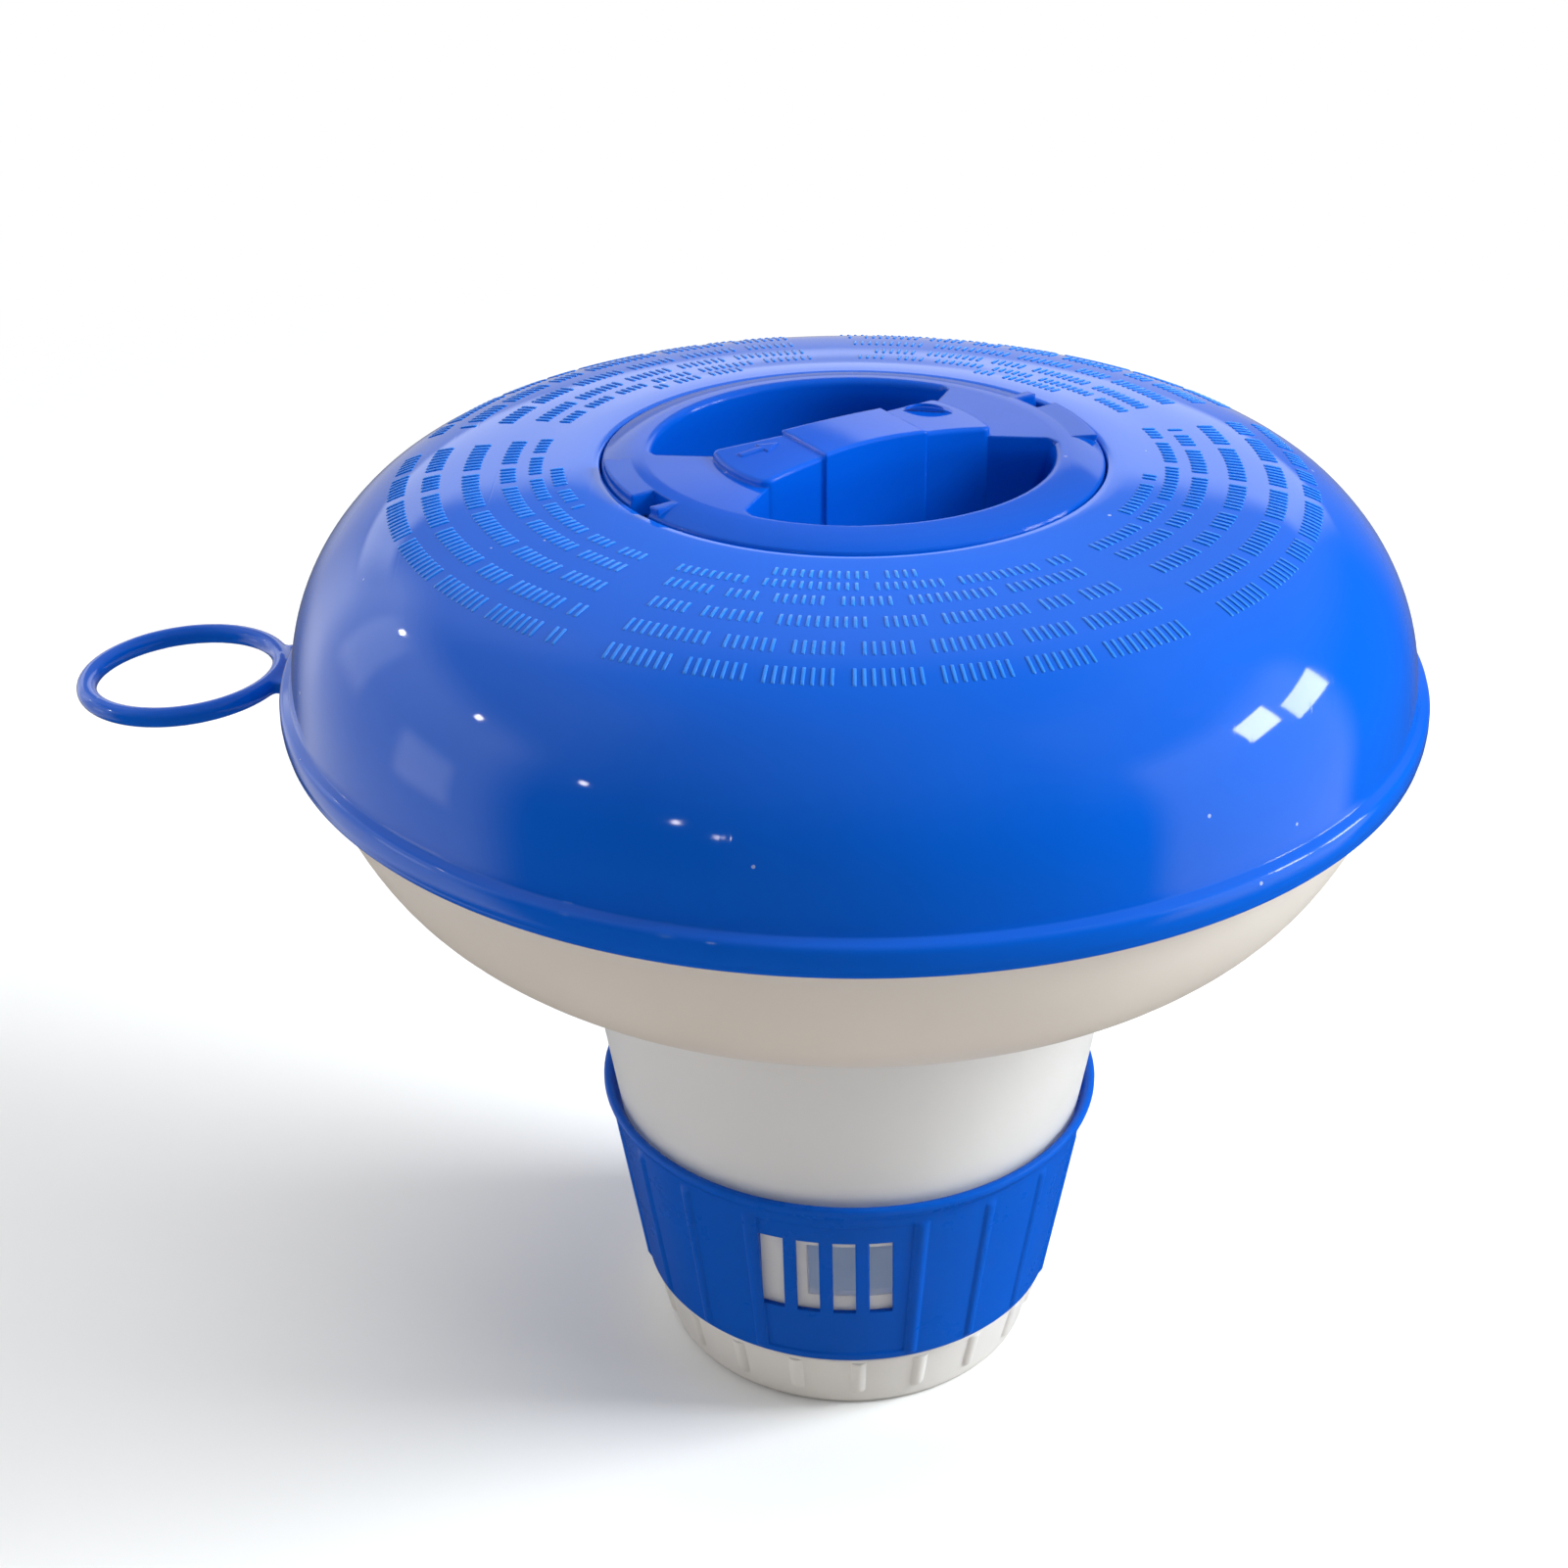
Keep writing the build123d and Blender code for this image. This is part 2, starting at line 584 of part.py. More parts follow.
    # bayonet lugs
    for angle in both_sides(lug_angle):
        with BuildSketch(level(32.0)):
            with BuildLine():
                draw_sector(skirt_r - 0.8, track_r - 0.4, angle - lug_half, 2 * lug_half)
            make_face()
        extrude(amount=2.9)
    # thumb mark with its half-round dimple, and arrow
    add(thumb_lip.part)
    with BuildSketch(level(45.65)):
        with Locations((thumb_x, thumb_y)):
            Circle(3.4)
        with Locations((thumb_x, thumb_y - 2.0)):
            Rectangle(9, 4.3, mode=Mode.SUBTRACT)
    extrude(amount=3.0, mode=Mode.SUBTRACT)
    add(arrow_blank.part)
save(locking_cap, "locking_cap")

# ===========================================================================
# 7. Cap gasket: soft ring between the cap's rim and the bayonet ledge
# ===========================================================================
gasket_in_r, gasket_out_r = skirt_r + 0.1, 43.25
gasket_mid, gasket_h = 39.1, 2.1

with BuildPart() as cap_gasket:
    with BuildSketch(section()):
        with Locations(((gasket_in_r + gasket_out_r) / 2, gasket_mid)):
            RectangleRounded(gasket_out_r - gasket_in_r, gasket_h, 0.7)
    revolve(axis=Axis.Z)
save(cap_gasket, "cap_gasket")
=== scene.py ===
"""A floating tablet dispenser, standing upright on its base on a white floor.

The float's axis is +Z through the origin and the base rests at z = 0. The tether loop points to -X,
and the camera looks from -Y, so +X is on its right. Shapes are worked out in millimetres and angles
in degrees from +X. Materials, lights and the camera are in metres.
"""

import math

import bmesh
import bpy
import numpy as np
from mathutils import Matrix, Vector


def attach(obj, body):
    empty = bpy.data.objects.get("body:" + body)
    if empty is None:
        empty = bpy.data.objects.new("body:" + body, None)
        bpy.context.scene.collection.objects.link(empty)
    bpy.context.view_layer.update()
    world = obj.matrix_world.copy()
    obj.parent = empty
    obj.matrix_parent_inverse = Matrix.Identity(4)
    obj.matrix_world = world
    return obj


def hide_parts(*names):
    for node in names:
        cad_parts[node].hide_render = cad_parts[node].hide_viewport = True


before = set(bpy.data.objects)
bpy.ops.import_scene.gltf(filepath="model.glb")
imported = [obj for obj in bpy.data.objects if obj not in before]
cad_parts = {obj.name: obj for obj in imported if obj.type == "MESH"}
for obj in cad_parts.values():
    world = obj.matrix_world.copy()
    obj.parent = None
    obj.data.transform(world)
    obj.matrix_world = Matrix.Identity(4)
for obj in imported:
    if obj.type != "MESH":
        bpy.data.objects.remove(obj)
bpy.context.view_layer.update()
scene = bpy.context.scene

# ---------------------------------------------------------------------------
# Shared sizes, mm. Heights are from the float's seam, except in the base cap.
# ---------------------------------------------------------------------------
MM = 0.001
SEAM = 138.4                # height of the seam above the floor
SHELL_T = 2.2               # wall of both float shells

# outer skin of the dome from the crown to the rim: (radius, height)
DOME = [(49.0, 42.22), (56.0, 41.9), (62.0, 41.45), (68.0, 40.8), (74.0, 39.7),
        (79.3, 37.9), (83.2, 35.8), (86.4, 33.4), (89.8, 30.0), (92.9, 26.0),
        (95.2, 22.0), (96.9, 18.0), (98.05, 14.0), (98.8, 10.0), (99.3, 6.6)]
# points that lead the skin in from the seat to DOME[1]
CROWN = [(47.2, 42.56), (50.0, 42.4), (53.0, 42.14)]
# outer skin of the bowl from the seam down: (radius, height)
BOWL = [(97.0, 0.4), (95.9, -4.0), (94.6, -8.0), (93.1, -12.0), (91.2, -16.0),
        (88.9, -20.0), (85.9, -24.0), (81.9, -28.0), (76.4, -32.0),
        (68.6, -36.2), (60.0, -40.6), (51.3, -45.5)]

# canister: a tube above, a cone narrowing downward below
TUBE_R, TUBE_LOW = 49.4, -45.5
CONE_R, CONE_Z, TAPER = 46.85, -74.0, 0.157     # radius at a height, and its gain per mm of height
CONE_END = -124.5

SLOT_MID = -95.2            # angle of the middle of the sleeve's first group of slots
SIDES = (0, 180)            # features repeated on opposite sides


def up(z):
    return SEAM + z


def raised(points):
    """Profile measured from the seam, moved to its height above the floor."""
    return [(r, up(z)) for r, z in points]


def cone(z):
    """Outer radius of the canister's cone."""
    return CONE_R + TAPER * (z - CONE_Z)


# ---------------------------------------------------------------------------
# Curves and angles
# ---------------------------------------------------------------------------
def wrap(angle, period=360.0):
    """Angle brought to within half a period of zero."""
    return (angle + period / 2) % period - period / 2


def polar(r, angle, z):
    t = math.radians(angle)
    return r * math.cos(t), r * math.sin(t), z


def mirrored(steps):
    return [-x for x in reversed(steps)] + [0] + list(steps)


def filled(angles, step):
    """Angles wrapped and sorted, with no gap around the circle wider than step."""
    grid = sorted(wrap(a) for a in angles)
    out = list(grid)
    for a, b in zip(grid, grid[1:] + [grid[0] + 360]):
        n = int(math.ceil((b - a) / step))
        out += [a + (b - a) * j / n for j in range(1, n)]
    return sorted(wrap(a) for a in out)


def inset(points, thickness):
    """Curve moved inward by a thickness, square to its local direction."""
    out = []
    last = len(points) - 1
    for i, (r, z) in enumerate(points):
        r0, z0 = points[max(i - 1, 0)]
        r1, z1 = points[min(i + 1, last)]
        dr, dz = r1 - r0, z1 - z0
        length = math.hypot(dr, dz)
        out.append((r + thickness * dz / length, z - thickness * dr / length))
    return out


def spline(points, step, start=None, end=None):
    """Smooth cubic curve through the points, sampled about every step mm.

    start and end are directions at the ends; without one, that end is free of curvature."""
    p = np.array(points, float)
    n = len(p)
    run = np.concatenate([[0], np.cumsum(np.hypot(*(p[1:] - p[:-1]).T))])
    h = run[1:] - run[:-1]
    lhs = np.zeros((n, n))
    rhs = np.zeros((n, 2))
    for i in range(1, n - 1):
        lhs[i, i - 1] = h[i]
        lhs[i, i] = 2 * (h[i - 1] + h[i])
        lhs[i, i + 1] = h[i - 1]
        rhs[i] = 3 * (h[i] * (p[i] - p[i - 1]) / h[i - 1] + h[i - 1] * (p[i + 1] - p[i]) / h[i])
    for i, direction, j in ((0, start, 1), (n - 1, end, n - 2)):
        if direction is None:
            lhs[i, i], lhs[i, j] = 2, 1
            rhs[i] = 3 * (p[max(i, j)] - p[min(i, j)]) / h[min(i, j)]
        else:
            lhs[i, i] = 1
            rhs[i] = np.array(direction, float) / np.hypot(*direction)
    slope = np.linalg.solve(lhs, rhs)
    out = []
    for i in range(n - 1):
        count = max(1, int(round(h[i] / step)))
        for q in range(count):
            t = q / count
            h00, h10 = 2 * t ** 3 - 3 * t ** 2 + 1, t ** 3 - 2 * t ** 2 + t
            h01, h11 = -2 * t ** 3 + 3 * t ** 2, t ** 3 - t ** 2
            out.append(h00 * p[i] + h10 * h[i] * slope[i]
                       + h01 * p[i + 1] + h11 * h[i] * slope[i + 1])
    out.append(p[-1])
    return [tuple(q) for q in out]


def rounded(points, steps=4):
    """Closed profile whose corners given as (r, z, radius) become arcs."""
    out = []
    for i, q in enumerate(points):
        if len(q) == 2:
            out.append(q)
            continue
        before = np.array(points[i - 1][:2], float)
        corner = np.array(q[:2], float)
        after = np.array(points[(i + 1) % len(points)][:2], float)
        u, v = before - corner, after - corner
        len_u, len_v = np.hypot(*u), np.hypot(*v)
        u, v = u / len_u, v / len_v
        angle = math.acos(max(-1, min(1, float(u @ v))))
        cut = min(q[2] / math.tan(angle / 2), 0.49 * len_u, 0.49 * len_v)
        radius = cut * math.tan(angle / 2)
        middle = (u + v) / np.hypot(*(u + v))
        centre = corner + middle * radius / math.sin(angle / 2)
        a0 = math.atan2(*(corner + u * cut - centre)[::-1])
        a1 = math.atan2(*(corner + v * cut - centre)[::-1])
        sweep = (a1 - a0 + math.pi) % (2 * math.pi) - math.pi
        for j in range(steps + 1):
            t = a0 + sweep * j / steps
            out.append((centre[0] + radius * math.cos(t), centre[1] + radius * math.sin(t)))
    return out


# ---------------------------------------------------------------------------
# Meshes and modifiers
# ---------------------------------------------------------------------------
def add_object(name, mesh, bm, body, smooth=True):
    bmesh.ops.recalc_face_normals(bm, faces=bm.faces)
    bm.to_mesh(mesh)
    bm.free()
    if smooth:
        for polygon in mesh.polygons:
            polygon.use_smooth = True
    obj = bpy.data.objects.new(name, mesh)
    scene.collection.objects.link(obj)
    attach(obj, body)
    return obj


def solid(name, verts_mm, faces, body):
    """Object from vertices and faces, with doubled points merged."""
    mesh = bpy.data.meshes.new(name)
    mesh.from_pydata([(x * MM, y * MM, z * MM) for x, y, z in verts_mm], [], faces)
    bm = bmesh.new()
    bm.from_mesh(mesh)
    bmesh.ops.remove_doubles(bm, verts=bm.verts, dist=1e-7)
    bmesh.ops.dissolve_degenerate(bm, edges=bm.edges, dist=1e-8)
    return add_object(name, mesh, bm, body)


def lathe(name, profile, angles, body, shape=None, holes=()):
    """Closed profile of (r, z) turned through a list of angles, one column of points per angle.

    shape(i, r, z, angle) may move point i of the profile and returns (r, z, angle).
    A hole is (first column, last column, outer first, outer last, inner first, inner last), the
    last four being profile indices; as many steps are cut from the outer side as the inner."""
    n, columns = len(profile), len(angles)
    verts = []
    for angle in angles:
        for i, (r, z) in enumerate(profile):
            r2, z2, angle2 = shape(i, r, z, angle) if shape else (r, z, angle)
            verts.append(polar(r2, angle2, z2))
    gone = set()
    walls = []
    for first, last, out_lo, out_hi, in_lo, in_hi in holes:
        for c in range(first, last):
            for i in (*range(out_lo, out_hi), *range(in_lo, in_hi)):
                gone.add((c % columns, i))
            here, there = (c % columns) * n, ((c + 1) % columns) * n
            walls.append((here + out_lo, there + out_lo, there + in_hi, here + in_hi))
            walls.append((here + out_hi, there + out_hi, there + in_lo, here + in_lo))
        for c in (first, last):
            here = (c % columns) * n
            for j in range(out_hi - out_lo):
                walls.append((here + out_lo + j, here + out_lo + j + 1,
                              here + in_hi - j - 1, here + in_hi - j))
    faces = []
    for c in range(columns):
        here, there = c * n, ((c + 1) % columns) * n
        for i in range(n):
            if (c, i) not in gone:
                j = (i + 1) % n
                faces.append((here + i, here + j, there + j, there + i))
    return solid(name, verts, faces + walls, body)


def weight_normals(obj):
    normals = obj.modifiers.new("normals", "WEIGHTED_NORMAL")
    normals.weight = 50
    normals.keep_sharp = False


def bevel(obj, width_mm, angle=32.0):
    edges = obj.modifiers.new("edges", "BEVEL")
    edges.width = width_mm * MM
    edges.segments = 3
    edges.limit_method = "ANGLE"
    edges.angle_limit = math.radians(angle)
    edges.harden_normals = False
    edges.miter_outer = "MITER_ARC"
    weight_normals(obj)


def point_at(along, across, z, bearing):
    """Point, in metres, given along and across a bearing (radians) from the axis, in mm."""
    c, s = math.cos(bearing), math.sin(bearing)
    return Vector((along * c - across * s, along * s + across * c, z)) * MM


# ---------------------------------------------------------------------------
# Upper float shell: dome, rim band, seat and collar, in one turned mesh
# ---------------------------------------------------------------------------
def dome_skin():
    return spline(CROWN + DOME[1:], 1.3, (1, -0.03), (0.13, -1))


def build_dome():
    seat_r, track_r, ledge_r, collar_r = 43.6, 43.0, 40.7, 45.8
    stop_r = track_r - 0.001        # keeps the stops' points apart from the track's
    entry_mid, entry_half = 36.0, 12.0      # gaps through the ledge, on both sides
    stops = ((11.0, 14.0), (-74.0, -71.0))  # angles from the nearer entry
    seat = [(ledge_r, 38.0, 0.25), (seat_r, 38.0), (seat_r, 42.6, 0.55), (45.0, 42.6), (46.2, 42.6)]
    rim = [(99.6, 6.25), (100.5, 5.9), (101.05, 5.4), (101.3, 4.6), (101.35, 3.0),
           (101.25, 1.9), (101.0, 1.55), (101.05, 1.25), (100.95, 0.6), (100.5, 0.1),
           (100.1, 0.0), (99.0, 0.0), (99.0, 2.5), (96.7, 2.5)]
    collar = [(50.8, 39.6), (47.5, 39.6), (47.5, 36.4), (collar_r, 34.9), (collar_r, 16.0),
              (track_r, 16.0), (track_r, 33.3), (stop_r, 33.3), (stop_r, 35.2), (ledge_r, 35.2)]
    lining = spline(list(reversed(inset(DOME, SHELL_T)[1:])), 3.0)
    profile = raised(rounded(seat) + dome_skin() + rim + lining + collar)
    stop_points = (len(profile) - 3, len(profile) - 2)

    def shape(i, r, z, angle):
        """Cut the entries back to the track and push the stops in near the ledge's radius."""
        d = wrap(angle - entry_mid, 180.0)
        if abs(r - ledge_r) < 0.3 and up(35.1) < z < up(38.1) and abs(d) < entry_half:
            r = track_r - 0.002
        if i in stop_points and any(low <= d <= high for low, high in stops):
            r = ledge_r + 0.1
        return r, z, angle

    dome = lathe("float_dome", profile, [k * 0.5 for k in range(720)], "float",
                 shape=shape)
    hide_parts("upper_float_shell")
    weight_normals(dome)
    return dome


# ---------------------------------------------------------------------------
# Tether loop: a bar bent to a ring and the short web that joins it to the rim
# ---------------------------------------------------------------------------
LOOP_X, LOOP_Y = -119.5, -5.2
LOOP_R, LOOP_BAR_R, LOOP_DROOP = 17.3, 1.8, 2.6     # ring, bar, tilt of the ring in degrees
LOOP_STEPS, BAR_STEPS = 144, 20
WEB_LOW, WEB_HIGH, WEB_STEPS = 2.15, 4.55, 12


def add_loop_ring(bm):
    centre = Vector((LOOP_X, LOOP_Y, up(2.6)))
    droop = math.radians(LOOP_DROOP)
    ring = []
    for i in range(LOOP_STEPS):
        t = 2 * math.pi * i / LOOP_STEPS
        row = []
        for j in range(BAR_STEPS):
            q = 2 * math.pi * j / BAR_STEPS
            r = LOOP_R + LOOP_BAR_R * math.cos(q)
            x, y, z = r * math.cos(t), r * math.sin(t), LOOP_BAR_R * math.sin(q)
            x, z = (x * math.cos(droop) - z * math.sin(droop),
                    x * math.sin(droop) + z * math.cos(droop))
            row.append(bm.verts.new((centre + Vector((x, y, z))) * MM))
        ring.append(row)
    for i in range(LOOP_STEPS):
        here, there = ring[i], ring[(i + 1) % LOOP_STEPS]
        for j in range(BAR_STEPS):
            k = (j + 1) % BAR_STEPS
            bm.faces.new((here[j], there[j], there[k], here[k]))


def add_loop_web(bm):
    bearing = math.atan2(LOOP_Y, LOOP_X)
    flank = []              # (distance from the axis, half width), concave from rim to ring
    for t in range(WEB_STEPS + 1):
        f = t / WEB_STEPS
        flank.append((99.2 + 4.4 * f, 7.2 + 3.0 * (1 - f) ** 2.2 + 1.2 * f ** 2))
    outline = flank + [(along, -across) for along, across in reversed(flank)]
    low, high = [], []
    for along, across in outline:
        low.append(bm.verts.new(point_at(along, across, up(WEB_LOW), bearing)))
        high.append(bm.verts.new(point_at(along, across, up(WEB_HIGH), bearing)))
    for i in range(len(outline)):
        j = (i + 1) % len(outline)
        bm.faces.new((low[i], low[j], high[j], high[i]))
    bm.faces.new(low)
    bm.faces.new(list(reversed(high)))


def build_loop():
    bm = bmesh.new()
    add_loop_ring(bm)
    add_loop_web(bm)
    mesh = bpy.data.meshes.new("tether_loop")
    loop = add_object("tether_loop", mesh, bm, "float", smooth=False)
    loop.visible_glossy = False     # not mirrored in the gloss of the rim
    melt = loop.modifiers.new("melt", "REMESH")
    melt.mode = "VOXEL"
    melt.voxel_size = 0.00033
    melt.use_smooth_shade = True
    soften = loop.modifiers.new("soften", "SMOOTH")
    soften.factor, soften.iterations = 0.5, 14
    return loop


# ---------------------------------------------------------------------------
# Raised rows on the dome: five blocks of small radial ridges
# ---------------------------------------------------------------------------
TICK_W, TICK_H, TICK_PITCH = 0.62, 0.24, 1.42
# cross section of a ridge, as parts of its width and height
TICK_SECTION = [(-0.5, -0.3), (-0.44, 0.55), (-0.2, 0.94), (0.2, 0.94), (0.44, 0.55), (0.5, -0.3)]
# rise at the ends of a ridge: (distance from the end, part of the full height)
TICK_ENDS = [(0.0, 0.0), (0.12, 0.6), (0.35, 1.0)]
BLOCKS = 5
# (mid radius, radial length, first angle, last angle), angles from the middle of the block
ROWS = [(50.9, 2.5, -13.5, 12.5), (54.6, 2.5, -29.5, 38.0), (59.3, 2.9, -28.5, 37.0),
        (65.7, 3.2, -27.5, 38.5), (72.6, 3.3, -27.5, 40.0), (78.6, 3.3, -27.5, 41.0)]


def add_tick(bm, dome_height, angle, r0, r1):
    """Small round-topped ridge from radius r0 to r1, ending just under the skin."""
    bearing = math.radians(angle)
    stations = ([(r0 + d, rise) for d, rise in TICK_ENDS] + [(r0 + (r1 - r0) / 2, 1.0)]
                + [(r1 - d, rise) for d, rise in reversed(TICK_ENDS)])
    rows = []
    for r, rise in stations:
        row = []
        for x, y in TICK_SECTION:
            if y < 0:
                height = y * TICK_H
            elif rise == 0.0:
                height = -0.02
            else:
                height = y * TICK_H * rise
            z = up(dome_height(r) + height)
            row.append(bm.verts.new(point_at(r, x * TICK_W, z, bearing)))
        rows.append(row)
    for here, there in zip(rows, rows[1:]):
        for j in range(len(here)):
            q = (j + 1) % len(here)
            bm.faces.new((here[j], here[q], there[q], there[j]))
    bm.faces.new(rows[0])
    bm.faces.new(list(reversed(rows[-1])))


def build_rows():
    skin_r, skin_z = np.array(dome_skin()).T

    def dome_height(r):
        return float(np.interp(r, skin_r, skin_z))

    rng = np.random.default_rng(7)
    bm = bmesh.new()
    for block in range(BLOCKS):
        block_mid = -90.0 + 360.0 / BLOCKS * block
        for k, (r, length, first, last) in enumerate(ROWS):
            # the other blocks are narrower than the first, most of all in their inmost row
            scale = 1.0 if block == 0 else (0.93 if k else 0.8)
            row_mid = (first + last) / 2
            angle = row_mid + (first - row_mid) * scale
            row_end = row_mid + (last - row_mid) * scale
            pitch = math.degrees(TICK_PITCH / r)
            left = int(rng.integers(5, 12))     # ridges left before the next gap
            while angle < row_end:
                add_tick(bm, dome_height, block_mid + angle, r - length / 2, r + length / 2)
                angle += pitch
                left -= 1
                if left == 0:
                    angle += pitch * 1.3
                    left = int(rng.integers(4, 12))
    mesh = bpy.data.meshes.new("raised_rows")
    rows = add_object("raised_rows", mesh, bm, "float")
    weight_normals(rows)
    return rows


# ---------------------------------------------------------------------------
# Lower float shell
# ---------------------------------------------------------------------------
def build_bowl():
    rim = [(94.6, 2.45), (98.85, 2.45), (98.85, 0.4, 0.25)]
    # sleeve of the shell that stands up around the canister's tube
    bore_r, bore_t = TUBE_R + 0.1, 1.8
    bore = [(bore_r, TUBE_LOW), (bore_r, -33.0), (bore_r + bore_t, -33.0), (bore_r + bore_t, -42.2)]
    lining = spline(list(reversed(inset(BOWL, SHELL_T)[1:-1])), 4.0)
    profile = raised(rounded(rim) + spline(BOWL, 2.0) + bore + lining)
    bowl = lathe("float_bowl", profile, [k * 0.75 for k in range(480)], "float")
    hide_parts("lower_float_shell")
    weight_normals(bowl)
    return bowl


# ---------------------------------------------------------------------------
# Tablet canister, with a window on each of two sides and a spigot below
# ---------------------------------------------------------------------------
def build_canister():
    wall, tube_top, spigot_r = 1.8, 39.6, 36.0
    window_low, window_high = -107.4, -94.6
    window_first, window_last = -100, -67       # angles of the first window
    bore_r = TUBE_R - wall
    spigot_bore_r = spigot_r - 1.7
    meet_z = CONE_Z + (TUBE_R - CONE_R) / TAPER     # where the cone would reach the tube's radius
    floor_z = CONE_END + wall
    floor_r = cone(floor_z) - wall

    def lining(z):
        return floor_r + (bore_r - floor_r) * (z - floor_z) / (meet_z - floor_z)

    profile = [
        (cone(CONE_END), CONE_END), (cone(window_low), window_low),
        (cone(window_high), window_high), (cone(TUBE_LOW), TUBE_LOW),
        (TUBE_R, TUBE_LOW), (TUBE_R, tube_top), (bore_r, tube_top), (bore_r, meet_z),
        (lining(window_high), window_high), (lining(window_low), window_low),
        (floor_r, floor_z), (spigot_bore_r, CONE_END + 0.6), (spigot_bore_r, -130.0),
        (spigot_r, -130.0), (spigot_r, -128.5), (spigot_r + 0.4, -127.9),
        (spigot_r + 0.4, -127.4), (spigot_r, -126.8), (spigot_r, CONE_END)]
    outer_edges, inner_edges = (1, 2), (8, 9)       # profile points on the window's edges
    angles = list(range(-180, 180))
    holes = [(angles.index(window_first + side), angles.index(window_last + side),
              *outer_edges, *inner_edges) for side in SIDES]
    canister = lathe("tablet_well", raised(profile), angles, "float",
                     holes=holes)
    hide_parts("tablet_canister")
    bevel(canister, 0.3)
    return canister


# ---------------------------------------------------------------------------
# Flow sleeve around the cone: four slots in a plain panel on each side, ribs between
# ---------------------------------------------------------------------------
SLEEVE_LOW, SLEEVE_TOP, SLEEVE_T, SLEEVE_GAP = -124.4, -83.0, 1.46, 0.10
LIP_R = 47.9
SLOT_LOW, SLOT_HIGH, SLOT_HALF, SLOT_PITCH = -111.2, -92.7, 2.15, 6.75
PANEL_MID, PANEL_HALF, PANEL_DEEP = -93.0, 18.6, 0.35       # degrees, degrees, mm
PANEL_LOW, PANEL_HIGH = -122.4, -88.4
RIBS_PER_SIDE, FIRST_RIB = 9, 20.5          # the first rib's angle from the panel's middle
RIB_PITCH = (180 - 2 * FIRST_RIB) / (RIBS_PER_SIDE - 1)
RIB_ANGLES = [PANEL_MID + side + FIRST_RIB + k * RIB_PITCH
              for side in SIDES for k in range(RIBS_PER_SIDE)]
RIB_COLUMNS = mirrored((0.28, 0.55, 0.8, 1.0, 1.14, 1.28, 1.5))     # mm across a rib
RIB_R, RIB_SUNK = 1.6, 1.1                  # round of the rib, depth of its centre in the skin
RIB_LOW, RIB_LOW_FADE = -123.4, 0.8
RIB_HIGH, RIB_HIGH_FADE = -88.0, 1.2
SLEEVE_STEP = 1.5                           # widest column, degrees


def skin(z):
    """Outer radius of the sleeve."""
    return cone(z) + SLEEVE_T


SKIN_REF = skin(-102.0)                     # radius at which widths around the sleeve are measured


def rib_height(x, z):
    """Round rib, faded out towards its two ends."""
    end = 1.0
    if z > RIB_HIGH - RIB_HIGH_FADE:
        end = max(0.0, (RIB_HIGH - z) / RIB_HIGH_FADE)
    if z < RIB_LOW + RIB_LOW_FADE:
        end = max(0.0, (z - RIB_LOW) / RIB_LOW_FADE)
    height = math.sqrt(max(0.0, RIB_R ** 2 - x ** 2)) - RIB_SUNK
    return max(0.0, height) * math.sqrt(end)


def parallel_angle(r, angle):
    """Angle moved so that the slots' sides stay parallel as the radius changes."""
    for side in SIDES:
        rel = wrap(angle - SLOT_MID - side)
        if abs(rel) < 28:
            x = SKIN_REF * math.sin(math.radians(rel))
            parallel = math.degrees(math.asin(max(-1, min(1, x / r))))
            part = 1.0 if abs(rel) < 17 else (28 - abs(rel)) / 11
            return SLOT_MID + side + rel + (parallel - rel) * part
    return angle


def slot_angles():
    """First and last angle of every slot."""
    pairs = []
    for side in SIDES:
        for k in range(4):
            centre = (k - 1.5) * SLOT_PITCH
            pairs.append([SLOT_MID + side + math.degrees(math.asin(x / SKIN_REF))
                          for x in (centre - SLOT_HALF, centre + SLOT_HALF)])
    return pairs


def sleeve_columns():
    angles = [round(a, 5) for pair in slot_angles() for a in pair]
    angles += [round(a + math.degrees(x / SKIN_REF), 5) for a in RIB_ANGLES for x in RIB_COLUMNS]
    angles += [PANEL_MID + side + edge for side in SIDES
               for edge in (-PANEL_HALF, -PANEL_HALF + 0.3, PANEL_HALF - 0.3, PANEL_HALF)]
    return filled(angles, SLEEVE_STEP)


